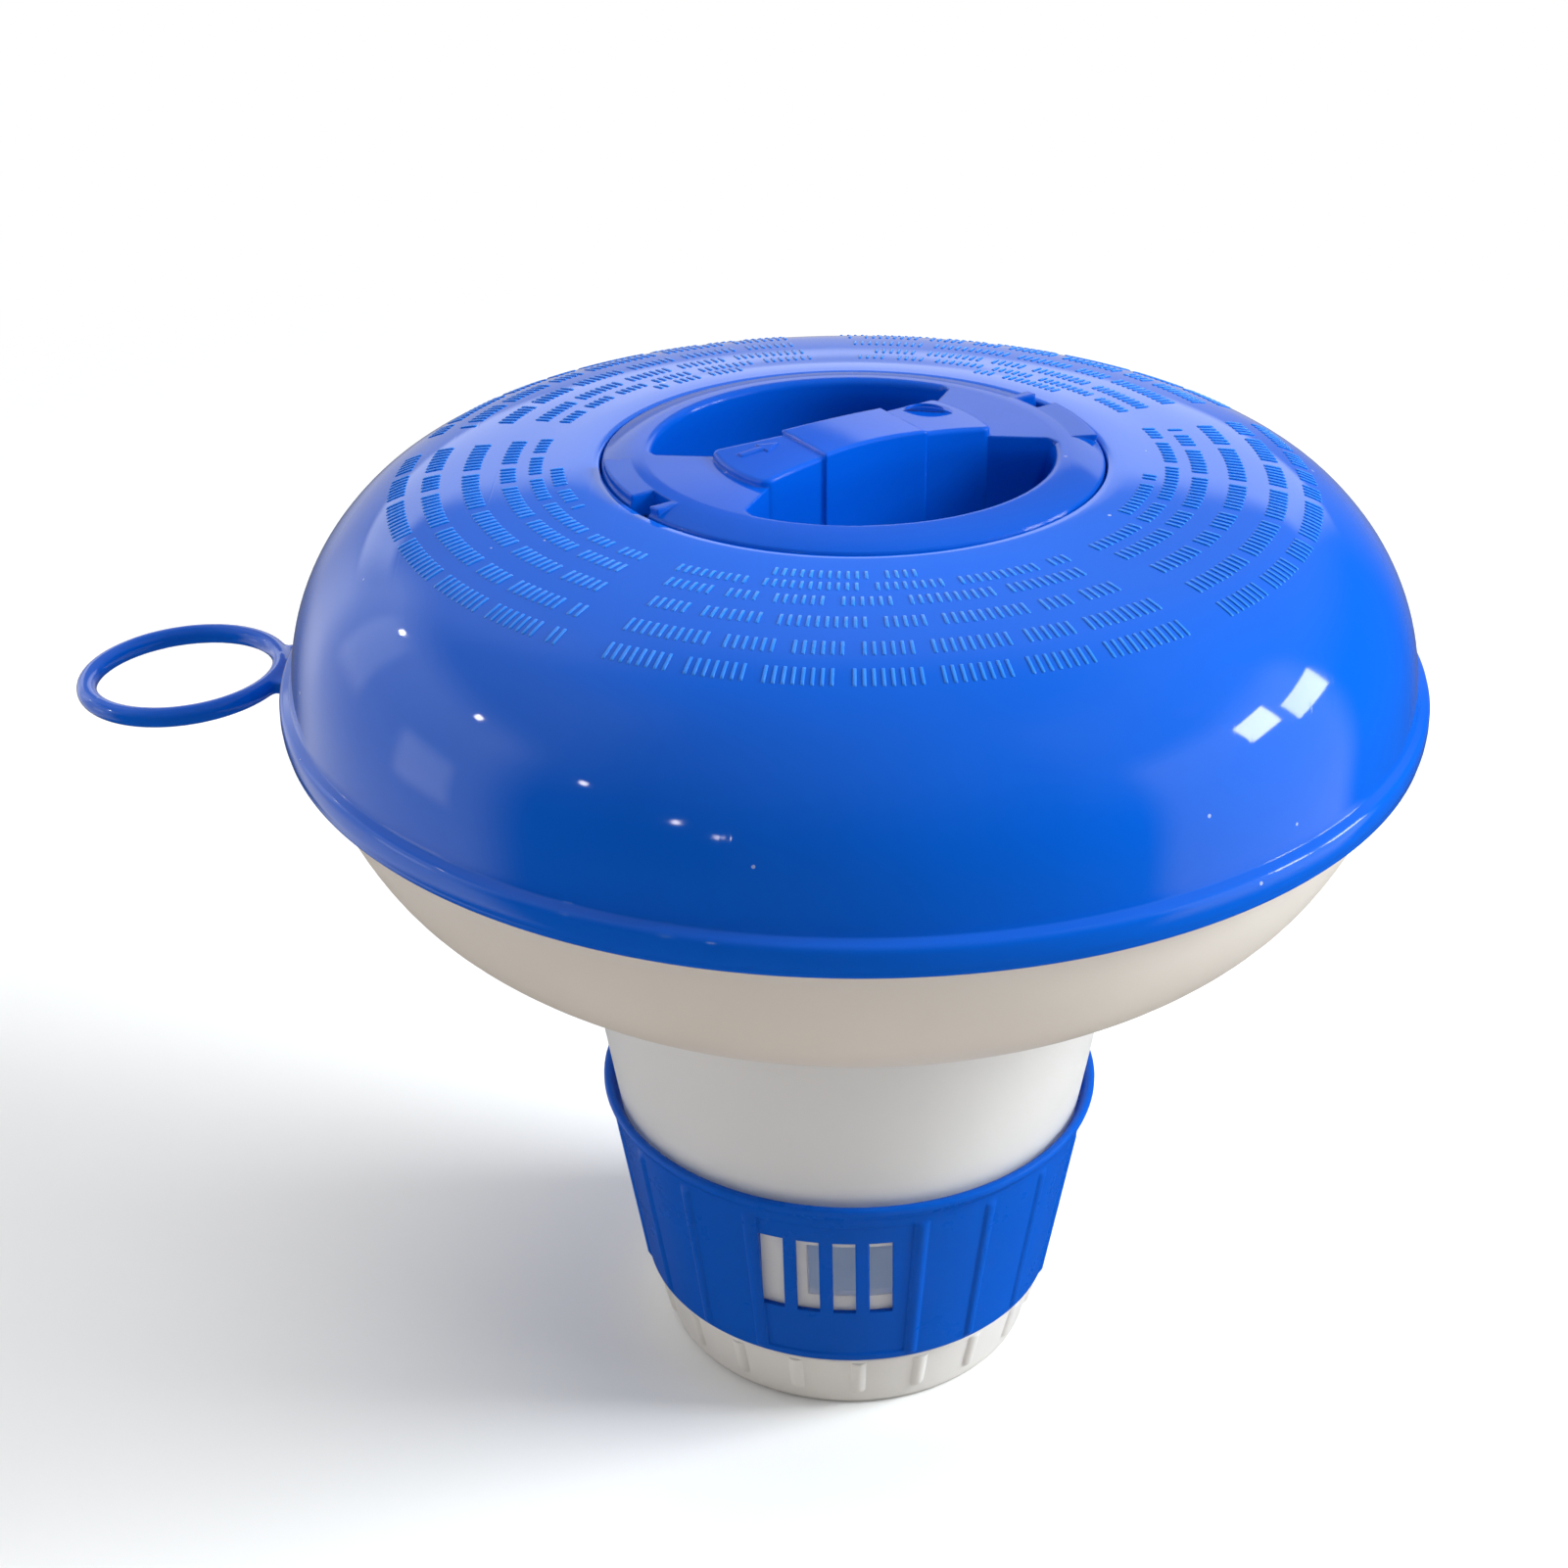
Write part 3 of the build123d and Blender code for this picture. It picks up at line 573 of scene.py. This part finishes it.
def build_sleeve():
    outer_z = [SLEEVE_LOW + 0.5, -123.6, -123.0, -122.55, -122.3, -120.0, -117.0, -114.0, SLOT_LOW,
               -108.0, -104.0, -100.0, -96.0, SLOT_HIGH, -90.6, -89.4, -88.75, -88.45, -88.2, -87.6]
    inner_z = [SLOT_HIGH, -96.0, -100.0, -104.0, -108.0, SLOT_LOW, SLEEVE_LOW + 0.3]
    neck_r = cone(-86.0) + SLEEVE_GAP
    lip = [(skin(-86.5), -86.5), (skin(-86.1) + 0.15, -86.0), (LIP_R - 0.75, -85.35),
           (LIP_R - 0.2, -84.75), (LIP_R, -84.1), (LIP_R, -83.5), (LIP_R - 0.15, -83.12),
           (LIP_R - 0.5, SLEEVE_TOP), (46.9, SLEEVE_TOP), (46.5, -83.15),
           (neck_r + 0.25, -85.4), (neck_r, -86.0)]
    outside = [(skin(SLEEVE_LOW) - 0.45, SLEEVE_LOW)] + [(skin(z), z) for z in outer_z]
    inside = [(cone(z) + SLEEVE_GAP, z) for z in inner_z]
    inside.append((cone(SLEEVE_LOW) + SLEEVE_GAP + 0.3, SLEEVE_LOW))
    profile = raised(outside + lip + inside)
    inside_start = len(outside) + len(lip)

    def shape(i, r, z, angle):
        moved = parallel_angle(r, angle)
        if 1 <= i <= len(outer_z):
            z_seam = z - SEAM
            for side in SIDES:
                d = abs(wrap(angle - PANEL_MID - side))
                if d < PANEL_HALF - 0.2 and PANEL_LOW < z_seam < PANEL_HIGH:
                    r -= PANEL_DEEP
            for rib in RIB_ANGLES:
                d = wrap(angle - rib)
                if abs(d) < 3:
                    r += rib_height(math.radians(d) * SKIN_REF, z_seam)
                    moved = angle
        return r, z, moved

    columns = sleeve_columns()

    def nearest(angle):
        return min(range(len(columns)), key=lambda c: abs(wrap(columns[c] - angle)))

    edges = (1 + outer_z.index(SLOT_LOW), 1 + outer_z.index(SLOT_HIGH),
             inside_start + inner_z.index(SLOT_HIGH), inside_start + inner_z.index(SLOT_LOW))
    holes = [(nearest(first), nearest(last), *edges) for first, last in slot_angles()]
    sleeve = lathe("flow_ring", profile, columns, "sleeve", shape=shape,
                   holes=holes)
    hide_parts("flow_sleeve")
    bevel(sleeve, 0.22, angle=50)
    return sleeve


# ---------------------------------------------------------------------------
# Bottom cap, with heights from the floor and grip ribs around its wall
# ---------------------------------------------------------------------------
FOOT_R, FOOT_Z, FLANGE_R = 36.3, 1.2, 39.6
WALL_SLOPE = (39.0 - FOOT_R) / (up(-125.7) - FOOT_Z)
GRIP_COUNT, GRIP_PHASE = 20, -86.6
GRIP_PITCH = 360.0 / GRIP_COUNT
GRIP_R, GRIP_SUNK, GRIP_LOW = 1.75, 1.05, 4.6       # below GRIP_LOW a rib ends in a round
GRIP_REF = 37.8                                     # radius at which a rib's width is measured
GRIP_COLUMNS = mirrored((0.28, 0.55, 0.85, 1.1, 1.3, 1.42, 1.6, 1.9))


def cap_wall(z):
    return FOOT_R + WALL_SLOPE * (z - FOOT_Z)


def build_base():
    foot = [(0.0, 0.0), (12.0, 0.0), (24.0, 0.0), (34.2, 0.0), (35.1, 0.02), (35.7, 0.2), (36.1, 0.6)]
    wall_z = [FOOT_Z, 2.0, 2.6, 2.85, 3.1, 3.4, 3.8, 4.2, 4.6, 5.6, 7.0, 9.0, 11.0, 12.2, 12.55]
    flange = [(cap_wall(12.62), 12.62), (39.15, 12.75), (FLANGE_R - 0.12, 12.8), (FLANGE_R, 12.95),
              (FLANGE_R, 13.4), (FLANGE_R - 0.1, 13.65), (FLANGE_R - 0.4, 13.8), (38.0, 13.8)]
    inside = [(36.3, 13.8), (36.1, 13.6), (36.1, 11.7), (36.55, 11.05), (36.55, 10.45), (36.1, 9.8),
              (36.1, 8.4), (34.3, 8.4), (33.9, 2.2), (33.5, 1.8), (24.0, 1.8), (12.0, 1.8),
              (0.0, 1.8)]
    profile = foot + [(cap_wall(z), z) for z in wall_z] + flange + inside

    def shape(i, r, z, angle):
        if len(foot) <= i < len(foot) + len(wall_z):
            x = math.radians(wrap(angle - GRIP_PHASE, GRIP_PITCH)) * GRIP_REF
            dz = min(0.0, z - GRIP_LOW)
            r += max(0.0, math.sqrt(max(0.0, GRIP_R ** 2 - x * x - dz * dz)) - GRIP_SUNK)
        return r, z, angle

    columns = filled([GRIP_PHASE + k * GRIP_PITCH + math.degrees(x / GRIP_REF)
                      for k in range(GRIP_COUNT) for x in GRIP_COLUMNS], 2.2)
    base = lathe("base_cap", profile, columns, "float", shape=shape)
    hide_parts("bottom_cap")
    weight_normals(base)
    return base


def build_lug():
    """Small block on the foot of the cone, a quarter turn from the slots."""
    low, high, half_angle, sunk, proud = -124.1, -121.6, 2.0, 0.8, 0.75
    middle = SLOT_MID + 90.0
    corners = []
    for z in (low, high):
        for dr, da in ((-sunk, -half_angle), (proud, -half_angle),
                       (proud, half_angle), (-sunk, half_angle)):
            corners.append(polar(cone(z) + dr, middle + da, up(z)))
    faces = [(0, 1, 2, 3), (4, 5, 6, 7)]
    faces += [(i, (i + 1) % 4, 4 + (i + 1) % 4, 4 + i) for i in range(4)]
    lug = solid("stop_lug", corners, faces, "float")
    bevel(lug, 0.12)
    return lug


# ---------------------------------------------------------------------------
# Shader node helpers
# ---------------------------------------------------------------------------
def node(tree, kind, inputs=None, **attributes):
    """New node. An input is given a value, or a socket to link it to."""
    made = tree.nodes.new(kind)
    for key, value in attributes.items():
        setattr(made, key, value)
    for key, value in (inputs or {}).items():
        if isinstance(value, bpy.types.NodeSocket):
            tree.links.new(value, made.inputs[key])
        else:
            made.inputs[key].default_value = value
    return made


def noise(tree, vector, **settings):
    return node(tree, "ShaderNodeTexNoise", {"Vector": vector, **settings}).outputs[0]


def math_node(tree, operation, first, second=None):
    inputs = {0: first} if second is None else {0: first, 1: second}
    return node(tree, "ShaderNodeMath", inputs, operation=operation).outputs[0]


def map_range(tree, value, start, end, low=0.0, high=1.0, **attributes):
    return node(tree, "ShaderNodeMapRange",
                {"Value": value, "From Min": start, "From Max": end, "To Min": low, "To Max": high},
                **attributes).outputs[0]


def mix_colour(tree, factor, first, second):
    return node(tree, "ShaderNodeMix", {0: factor, 6: first, 7: second},
                data_type="RGBA").outputs[2]


def bump(tree, height, distance, normal, strength=1.0):
    inputs = {"Strength": strength, "Distance": distance, "Height": height, "Normal": normal}
    return node(tree, "ShaderNodeBump", inputs).outputs[0]


def round_normal(tree, radius, samples):
    return node(tree, "ShaderNodeBevel", {"Radius": radius}, samples=samples).outputs[0]


# ---------------------------------------------------------------------------
# Moulded plastics
# ---------------------------------------------------------------------------
def worn_edges(tree, position, wear):
    """Mask of sharp edges, broken up into patches."""
    facing = node(tree, "ShaderNodeVectorMath",
                  {0: round_normal(tree, radius=0.0006, samples=4),
                   1: node(tree, "ShaderNodeNewGeometry").outputs["Normal"]},
                  operation="DOT_PRODUCT").outputs["Value"]
    edge = map_range(tree, facing, start=0.93, end=0.78)
    patches = map_range(tree, noise(tree, position, Scale=160.0, Detail=4.0, Roughness=0.6),
                        start=0.45, end=0.7)
    return math_node(tree, "MULTIPLY", math_node(tree, "MULTIPLY", edge, patches), wear)


def speck_mask(tree, position, strength):
    """Small dots, only where a slow noise is high."""
    cells = node(tree, "ShaderNodeTexVoronoi", {"Vector": position, "Scale": 170.0})
    dots = math_node(tree, "LESS_THAN", cells.outputs["Distance"], 0.055)
    areas = math_node(tree, "GREATER_THAN", noise(tree, position, Scale=31.0, Detail=1.0), 0.60)
    return math_node(tree, "MULTIPLY", math_node(tree, "MULTIPLY", dots, areas), strength)


def relief(tree, position, edge_radius, grain, scuffs):
    """Normal with rounded edges, the moulding's slow ripple, fine grain and hairline scuffs."""
    ripple = noise(tree, position, Scale=75.0, Detail=1.0, Roughness=0.4)
    normal = bump(tree, ripple, 0.00001, round_normal(tree, edge_radius, samples=6))
    if grain:
        fine = noise(tree, position, Scale=1500.0, Detail=2.0, Roughness=0.6)
        normal = bump(tree, fine, grain, normal)
    if scuffs:
        for rotation, scale in (((0.3, 0.2, 0.5), 900.0), ((1.1, 0.4, 2.2), 1200.0)):
            # noise drawn out along one direction into lines
            stretched = node(tree, "ShaderNodeMapping",
                             {"Vector": position, "Rotation": rotation,
                              "Scale": (1.0, 0.02, 0.02)}).outputs[0]
            lines = map_range(tree, noise(tree, stretched, Scale=scale, Detail=0.0),
                              start=0.74, end=0.80)
            normal = bump(tree, lines, -scuffs, normal)
    return normal


def plastic(name, dark, light, rough, rough_var, specks=0.0, scuffs=0.0, grain=0.0, glow=0.0,
            glow_colour=None, edge_radius=0.0003, specular=0.5, wear=0.35):
    """Plastic with slow colour drift, paler worn edges, specks, uneven gloss and relief.

    scuffs, grain and edge_radius are in metres; glow is the share of light let through."""
    material = bpy.data.materials.new(name)
    material.use_nodes = True
    tree = material.node_tree
    tree.nodes.clear()
    position = node(tree, "ShaderNodeTexCoord").outputs["Object"]

    drift = noise(tree, position, Scale=22.0, Detail=3.0, Roughness=0.55)
    colour = mix_colour(tree, drift, (*dark, 1), (*light, 1))
    worn = worn_edges(tree, position, wear)
    paler = (*(min(1.0, c * 1.5 + 0.06) for c in light), 1)
    colour = mix_colour(tree, worn, colour, paler)
    if specks:
        colour = mix_colour(tree, speck_mask(tree, position, specks), colour, (0.55, 0.62, 0.75, 1))

    gloss = map_range(tree, noise(tree, position, Scale=60.0, Detail=5.0, Roughness=0.65),
                      start=0.3, end=0.7, low=rough - rough_var, high=rough + rough_var)
    shader = node(tree, "ShaderNodeBsdfPrincipled", {
        "Base Color": colour,
        "Roughness": math_node(tree, "ADD", gloss, worn),
        "IOR": 1.49,
        "Specular IOR Level": specular,
        "Normal": relief(tree, position, edge_radius, grain, scuffs)}).outputs[0]
    if glow:
        through = node(tree, "ShaderNodeBsdfTranslucent",
                       {"Color": (*glow_colour, 1) if glow_colour else colour}).outputs[0]
        shader = node(tree, "ShaderNodeMixShader", {0: glow, 1: shader, 2: through}).outputs[0]
    node(tree, "ShaderNodeOutputMaterial", {0: shader})
    return material


GLOSS_BLUE = dict(dark=(0.0004, 0.082, 0.50), light=(0.0008, 0.097, 0.57), scuffs=0.000004)
PLASTICS = {
    "shell_blue": dict(**GLOSS_BLUE, rough=0.055, rough_var=0.02, specks=0.5),
    # The ridges are moulded in the shell's plastic; this lighter blue is a painted highlight for the
    # pale sheen they catch.
    "ridge_blue_painted_highlight": dict(dark=(0.012, 0.17, 0.66), light=(0.02, 0.20, 0.74),
                        rough=0.18, rough_var=0.05),
    "cap_blue": dict(**GLOSS_BLUE, rough=0.08, rough_var=0.03, specks=0.3,
                     glow=0.34, glow_colour=(0.0, 0.38, 1.0), edge_radius=0.0007),
    "sleeve_blue": dict(dark=(0.0002, 0.088, 0.50), light=(0.0004, 0.106, 0.58),
                        rough=0.30, rough_var=0.06, grain=0.000004, edge_radius=0.0004,
                        specular=0.14, wear=0.0, glow=0.2, glow_colour=(0.03, 0.28, 0.95)),
    # Greyer and warmer than the canister, partly its own tone and partly painted shade: darkened and
    # warmed for the shade under the rim and the warm light bounced up from below.
    "bowl_white": dict(dark=(0.66, 0.62, 0.58), light=(0.72, 0.685, 0.65),
                       rough=0.42, rough_var=0.06, grain=0.000006, scuffs=0.000003, glow=0.15),
    "canister_white": dict(dark=(0.80, 0.785, 0.76), light=(0.85, 0.84, 0.82),
                           rough=0.38, rough_var=0.06, grain=0.000005, glow=0.45),
    "base_white": dict(dark=(0.80, 0.79, 0.77), light=(0.86, 0.85, 0.84),
                       rough=0.36, rough_var=0.06, grain=0.000005, glow=0.2),
    "gasket_black": dict(dark=(0.02, 0.02, 0.021), light=(0.035, 0.035, 0.037),
                         rough=0.6, rough_var=0.08, grain=0.00001),
}


def paint_parts(painted):
    """painted lists (object, plastic). The cap and its gasket keep their CAD meshes."""
    plastics = {name: plastic(name, **settings) for name, settings in PLASTICS.items()}
    for obj, name in painted:
        obj.data.materials.clear()
        obj.data.materials.append(plastics[name])
    for part, name in (("locking_cap", "cap_blue"), ("cap_gasket", "gasket_black")):
        for material_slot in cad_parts[part].material_slots:
            material_slot.material = plastics[name]


# ---------------------------------------------------------------------------
# Floor and world
# ---------------------------------------------------------------------------
def floor_material():
    """Near-white to the camera, warmer in the light it throws back, fading to a white horizon."""
    material = bpy.data.materials.new("floor")
    material.use_nodes = True
    tree = material.node_tree
    surface = tree.nodes["Principled BSDF"]
    surface.inputs["Roughness"].default_value = 0.9
    camera_ray = node(tree, "ShaderNodeLightPath").outputs["Is Camera Ray"]
    colour = mix_colour(tree, camera_ray, (0.80, 0.73, 0.66, 1), (0.90, 0.90, 0.90, 1))
    tree.links.new(colour, surface.inputs["Base Color"])
    uneven = node(tree, "ShaderNodeTexNoise", {"Scale": 3.0, "Detail": 3.0}).outputs[0]
    ripple = node(tree, "ShaderNodeBump", {"Strength": 0.1, "Distance": 0.001, "Height": uneven})
    tree.links.new(ripple.outputs[0], surface.inputs["Normal"])

    place = node(tree, "ShaderNodeNewGeometry").outputs["Position"]
    distance = node(tree, "ShaderNodeVectorMath", {0: place}, operation="LENGTH").outputs["Value"]
    fade = map_range(tree, distance, start=0.18, end=0.75, interpolation_type="SMOOTHSTEP")
    mixed = node(tree, "ShaderNodeMixShader", {
        0: math_node(tree, "MULTIPLY", fade, camera_ray),
        1: surface.outputs[0],
        2: node(tree, "ShaderNodeEmission").outputs[0]})
    tree.links.new(mixed.outputs[0], tree.nodes["Material Output"].inputs[0])
    return material


def build_floor():
    bm = bmesh.new()
    bmesh.ops.create_grid(bm, x_segments=8, y_segments=8, size=6.0)
    mesh = bpy.data.meshes.new("floor")
    bm.to_mesh(mesh)
    bm.free()
    floor = bpy.data.objects.new("floor", mesh)
    scene.collection.objects.link(floor)
    floor.location = (0, 0, -0.0002)
    floor.visible_glossy = False
    mesh.materials.append(floor_material())


# Bright patches of the room. Azimuth is from +X turning to +Y, or from -X turning to -Y.
# (from, azimuth low, high, softness, elevation low, high, softness, brightness)
ROOM_PATCHES = [
    ("-X", -50, 20, 9, -40, 30, 7, 0.85),       # left wall
    ("-X", -60, 30, 20, 20, 62, 14, 0.30),      # above it
    ("-X", -6, 9, 2, -8, 8, 3, 0.9),            # two lit panels in it
    ("-X", -34, -22, 2, 2, 24, 4, 0.6),
    ("+X", -30, 19, 5, -25, 30, 6, 0.85),       # window side on the right
    ("+X", -40, 60, 12, 18, 60, 10, 0.22),      # above it
    ("+X", 62, 130, 6, 10, 21.8, 1.2, 1.1),     # lit strip of the wall behind
    ("+X", 76, 140, 5, -12, 12, 6, 0.4),        # below the strip
    ("+X", 60, 150, 12, -20, 60, 12, 0.28),     # the whole wall behind
]


def build_world():
    """White to the camera; a room of soft bright patches to everything else."""
    world = bpy.data.worlds.new("studio")
    scene.world = world
    world.use_nodes = True
    tree = world.node_tree
    tree.nodes.clear()
    room = node(tree, "ShaderNodeBackground")
    backdrop = node(tree, "ShaderNodeBackground", {"Color": (1, 1, 1, 1), "Strength": 1.0})
    camera_ray = node(tree, "ShaderNodeLightPath").outputs["Is Camera Ray"]
    seen = node(tree, "ShaderNodeMixShader",
                {0: camera_ray, 1: room.outputs[0], 2: backdrop.outputs[0]})
    node(tree, "ShaderNodeOutputWorld", {0: seen.outputs[0]})
    direction = node(tree, "ShaderNodeTexCoord").outputs["Generated"]
    axes = node(tree, "ShaderNodeSeparateXYZ", {0: direction}).outputs

    def calc(operation, first, second=None):
        return math_node(tree, operation, first, second)

    def ramp(value, start, end, low=0.0, high=1.0):
        if start > end:
            start, end, low, high = end, start, high, low
        return map_range(tree, value, start, end, low, high, interpolation_type="SMOOTHSTEP")

    degrees = 180 / math.pi
    azimuth = {
        "+X": calc("MULTIPLY", calc("ARCTAN2", axes["Y"], axes["X"]), degrees),
        "-X": calc("MULTIPLY", calc("ARCTAN2", calc("MULTIPLY", axes["Y"], -1.0),
                                    calc("MULTIPLY", axes["X"], -1.0)), degrees)}
    elevation = calc("MULTIPLY", calc("ARCSINE", axes["Z"]), degrees)

    def band(value, low, high, soft):
        return calc("MULTIPLY", ramp(value, low - soft, low + soft),
                    ramp(value, high + soft, high - soft))

    total = ramp(elevation, 10, 60, 0.05, 0.25)     # dim ceiling
    for origin, az0, az1, az_soft, el0, el1, el_soft, brightness in ROOM_PATCHES:
        across = band(azimuth[origin], az0, az1, az_soft)
        upward = band(elevation, el0, el1, el_soft)
        patch = calc("MULTIPLY", calc("MULTIPLY", across, upward), brightness)
        total = calc("ADD", total, patch)
    # warm below, cool above
    hue = mix_colour(tree, ramp(axes["Z"], -0.1, 0.3), (0.98, 0.96, 0.93, 1), (0.97, 1.0, 1.03, 1))
    tree.links.new(hue, room.inputs["Color"])
    tree.links.new(total, room.inputs["Strength"])


# ---------------------------------------------------------------------------
# Lights: sizes and distances in metres, energy in watts
# ---------------------------------------------------------------------------
def toward(azimuth, elevation, distance, centre=(0.03, -0.03, 0.165)):
    """Place at a distance from a centre, in a direction given in degrees."""
    a, e = math.radians(azimuth), math.radians(elevation)
    direction = Vector((math.cos(a) * math.cos(e), math.sin(a) * math.cos(e), math.sin(e)))
    return Vector(centre) + distance * direction


def add_light(name, kind, location, energy, target=None):
    light = bpy.data.lights.new(name, kind)
    light.energy = energy
    obj = bpy.data.objects.new(name, light)
    scene.collection.objects.link(obj)
    obj.location = location
    if target is not None:
        obj.rotation_mode = "QUATERNION"
        obj.rotation_quaternion = (Vector(target) - obj.location).to_track_quat("-Z", "Y")
    return obj


def area(name, location, target, size, energy, colour=(1, 1, 1), size_y=None, glossy=True,
         diffuse=True):
    obj = add_light(name, "AREA", location, energy, target)
    obj.data.color = colour
    obj.data.shape = "RECTANGLE"
    obj.data.size = size
    obj.data.size_y = size_y or size
    obj.visible_glossy = glossy
    obj.visible_diffuse = diffuse


def add_soft_lights():
    """Lights that shape the colour without mirroring in the gloss."""
    low_target = (0, 0, 0.08)
    area("ceiling", (0.1, 0.1, 1.5), (0, 0, 0.1), size=1.4, energy=11, glossy=False)
    area("key_right", toward(2, 30, 1.3), (0, 0, 0.12), size=0.5, energy=23,
         colour=(0.93, 0.98, 1.0), glossy=False)
    area("side_left", toward(190, 8, 1.3), low_target, size=0.8, energy=4.0,
         colour=(1.0, 0.99, 0.96), glossy=False)
    area("side_right", toward(-12, 6, 1.3), low_target, size=0.6, energy=5.4,
         colour=(0.86, 0.95, 1.0), glossy=False)
    area("front_low", toward(-95, -2, 1.2, (0, 0, 0.12)), low_target, size=0.7, energy=1.2,
         colour=(1.0, 0.95, 0.88), glossy=False)


def add_inner_lights():
    # light that reaches the chamber through its thin walls
    chamber = add_light("chamber", "POINT", (0, 0, 0.075), energy=0.036)
    chamber.data.color = (0.40, 0.60, 1.0)
    chamber.data.shadow_soft_size = 0.02
    chamber.visible_glossy = False
    # narrow beam into the top of the float
    target = Vector((-0.005, -0.008, 0.170))
    spot = add_light("pocket_spot", "SPOT", toward(-62, 50, 1.3, target), energy=62.0,
                     target=target)
    spot.data.spot_size = math.radians(3.1)
    spot.data.spot_blend = 0.8
    spot.data.shadow_soft_size = 0.03
    spot.visible_glossy = False


# window panes on the right: (azimuth, elevation, width)
PANES = [(-1.5, 20.5, 0.25), (12.5, 16.0, 0.33)]
# small lamps: (azimuth, elevation, size, energy, point on the dome they aim at, mm)
LAMPS = [(151.5, 24.1, 0.055, 0.25, (-70.5, -51.5, 170.8)),
         (-176.2, 28.6, 0.06, 0.3, (-55.9, -72.0, 166.6)),
         (-145.0, 24.5, 0.055, 0.225, (-39.1, -85.4, 162.7)),
         (-123.6, 18.7, 0.05, 0.2, (-25.2, -92.1, 159.8)),
         (-114.7, 15.4, 0.05, 0.175, (-18.9, -94.2, 158.4))]


def add_mirrored_lights():
    """Softboxes that show as reflections and add no diffuse light."""
    for k, (azimuth, elevation, width) in enumerate(PANES):
        area(f"pane_{k}", toward(azimuth, elevation, 1.6), (0.065, -0.067, 0.164), size=width,
             energy=3.0, colour=(0.93, 0.97, 1.0), size_y=0.24, diffuse=False)
    for k, (azimuth, elevation, size, energy, target_mm) in enumerate(LAMPS):
        target = tuple(v * MM for v in target_mm)
        area(f"lamp_{k}", toward(azimuth, elevation, 2.0, target), target, size=size,
             energy=energy, diffuse=False)


# ---------------------------------------------------------------------------
# Camera
# ---------------------------------------------------------------------------
def add_camera():
    position = Vector((0, -0.41036, 0.3370))
    # yaw is from +Y, pitch is downward
    yaw, pitch, roll = math.radians(-1.717), math.radians(28.225), math.radians(-0.422)
    forward = Vector((math.sin(yaw) * math.cos(pitch), math.cos(yaw) * math.cos(pitch),
                      -math.sin(pitch)))
    level_right = Vector((math.cos(yaw), -math.sin(yaw), 0))
    level_up = level_right.cross(forward)
    c, s = math.cos(roll), math.sin(roll)
    right = c * level_right + s * level_up
    upward = -s * level_right + c * level_up
    rotation = Matrix((right, upward, -forward)).transposed()

    data = bpy.data.cameras.new("camera")
    data.lens = 57.93
    data.sensor_width = 36.0
    data.clip_start, data.clip_end = 0.01, 50
    camera = bpy.data.objects.new("camera", data)
    scene.collection.objects.link(camera)
    camera.matrix_world = Matrix.Translation(position) @ rotation.to_4x4()
    scene.camera = camera


paint_parts([
    (build_dome(), "shell_blue"),
    (build_loop(), "shell_blue"),
    (build_rows(), "ridge_blue_painted_highlight"),
    (build_bowl(), "bowl_white"),
    (build_canister(), "canister_white"),
    (build_sleeve(), "sleeve_blue"),
    (build_base(), "base_white"),
    (build_lug(), "canister_white"),
])
build_floor()
build_world()
add_soft_lights()
add_inner_lights()
add_mirrored_lights()
add_camera()
scene.view_settings.view_transform = "Standard"
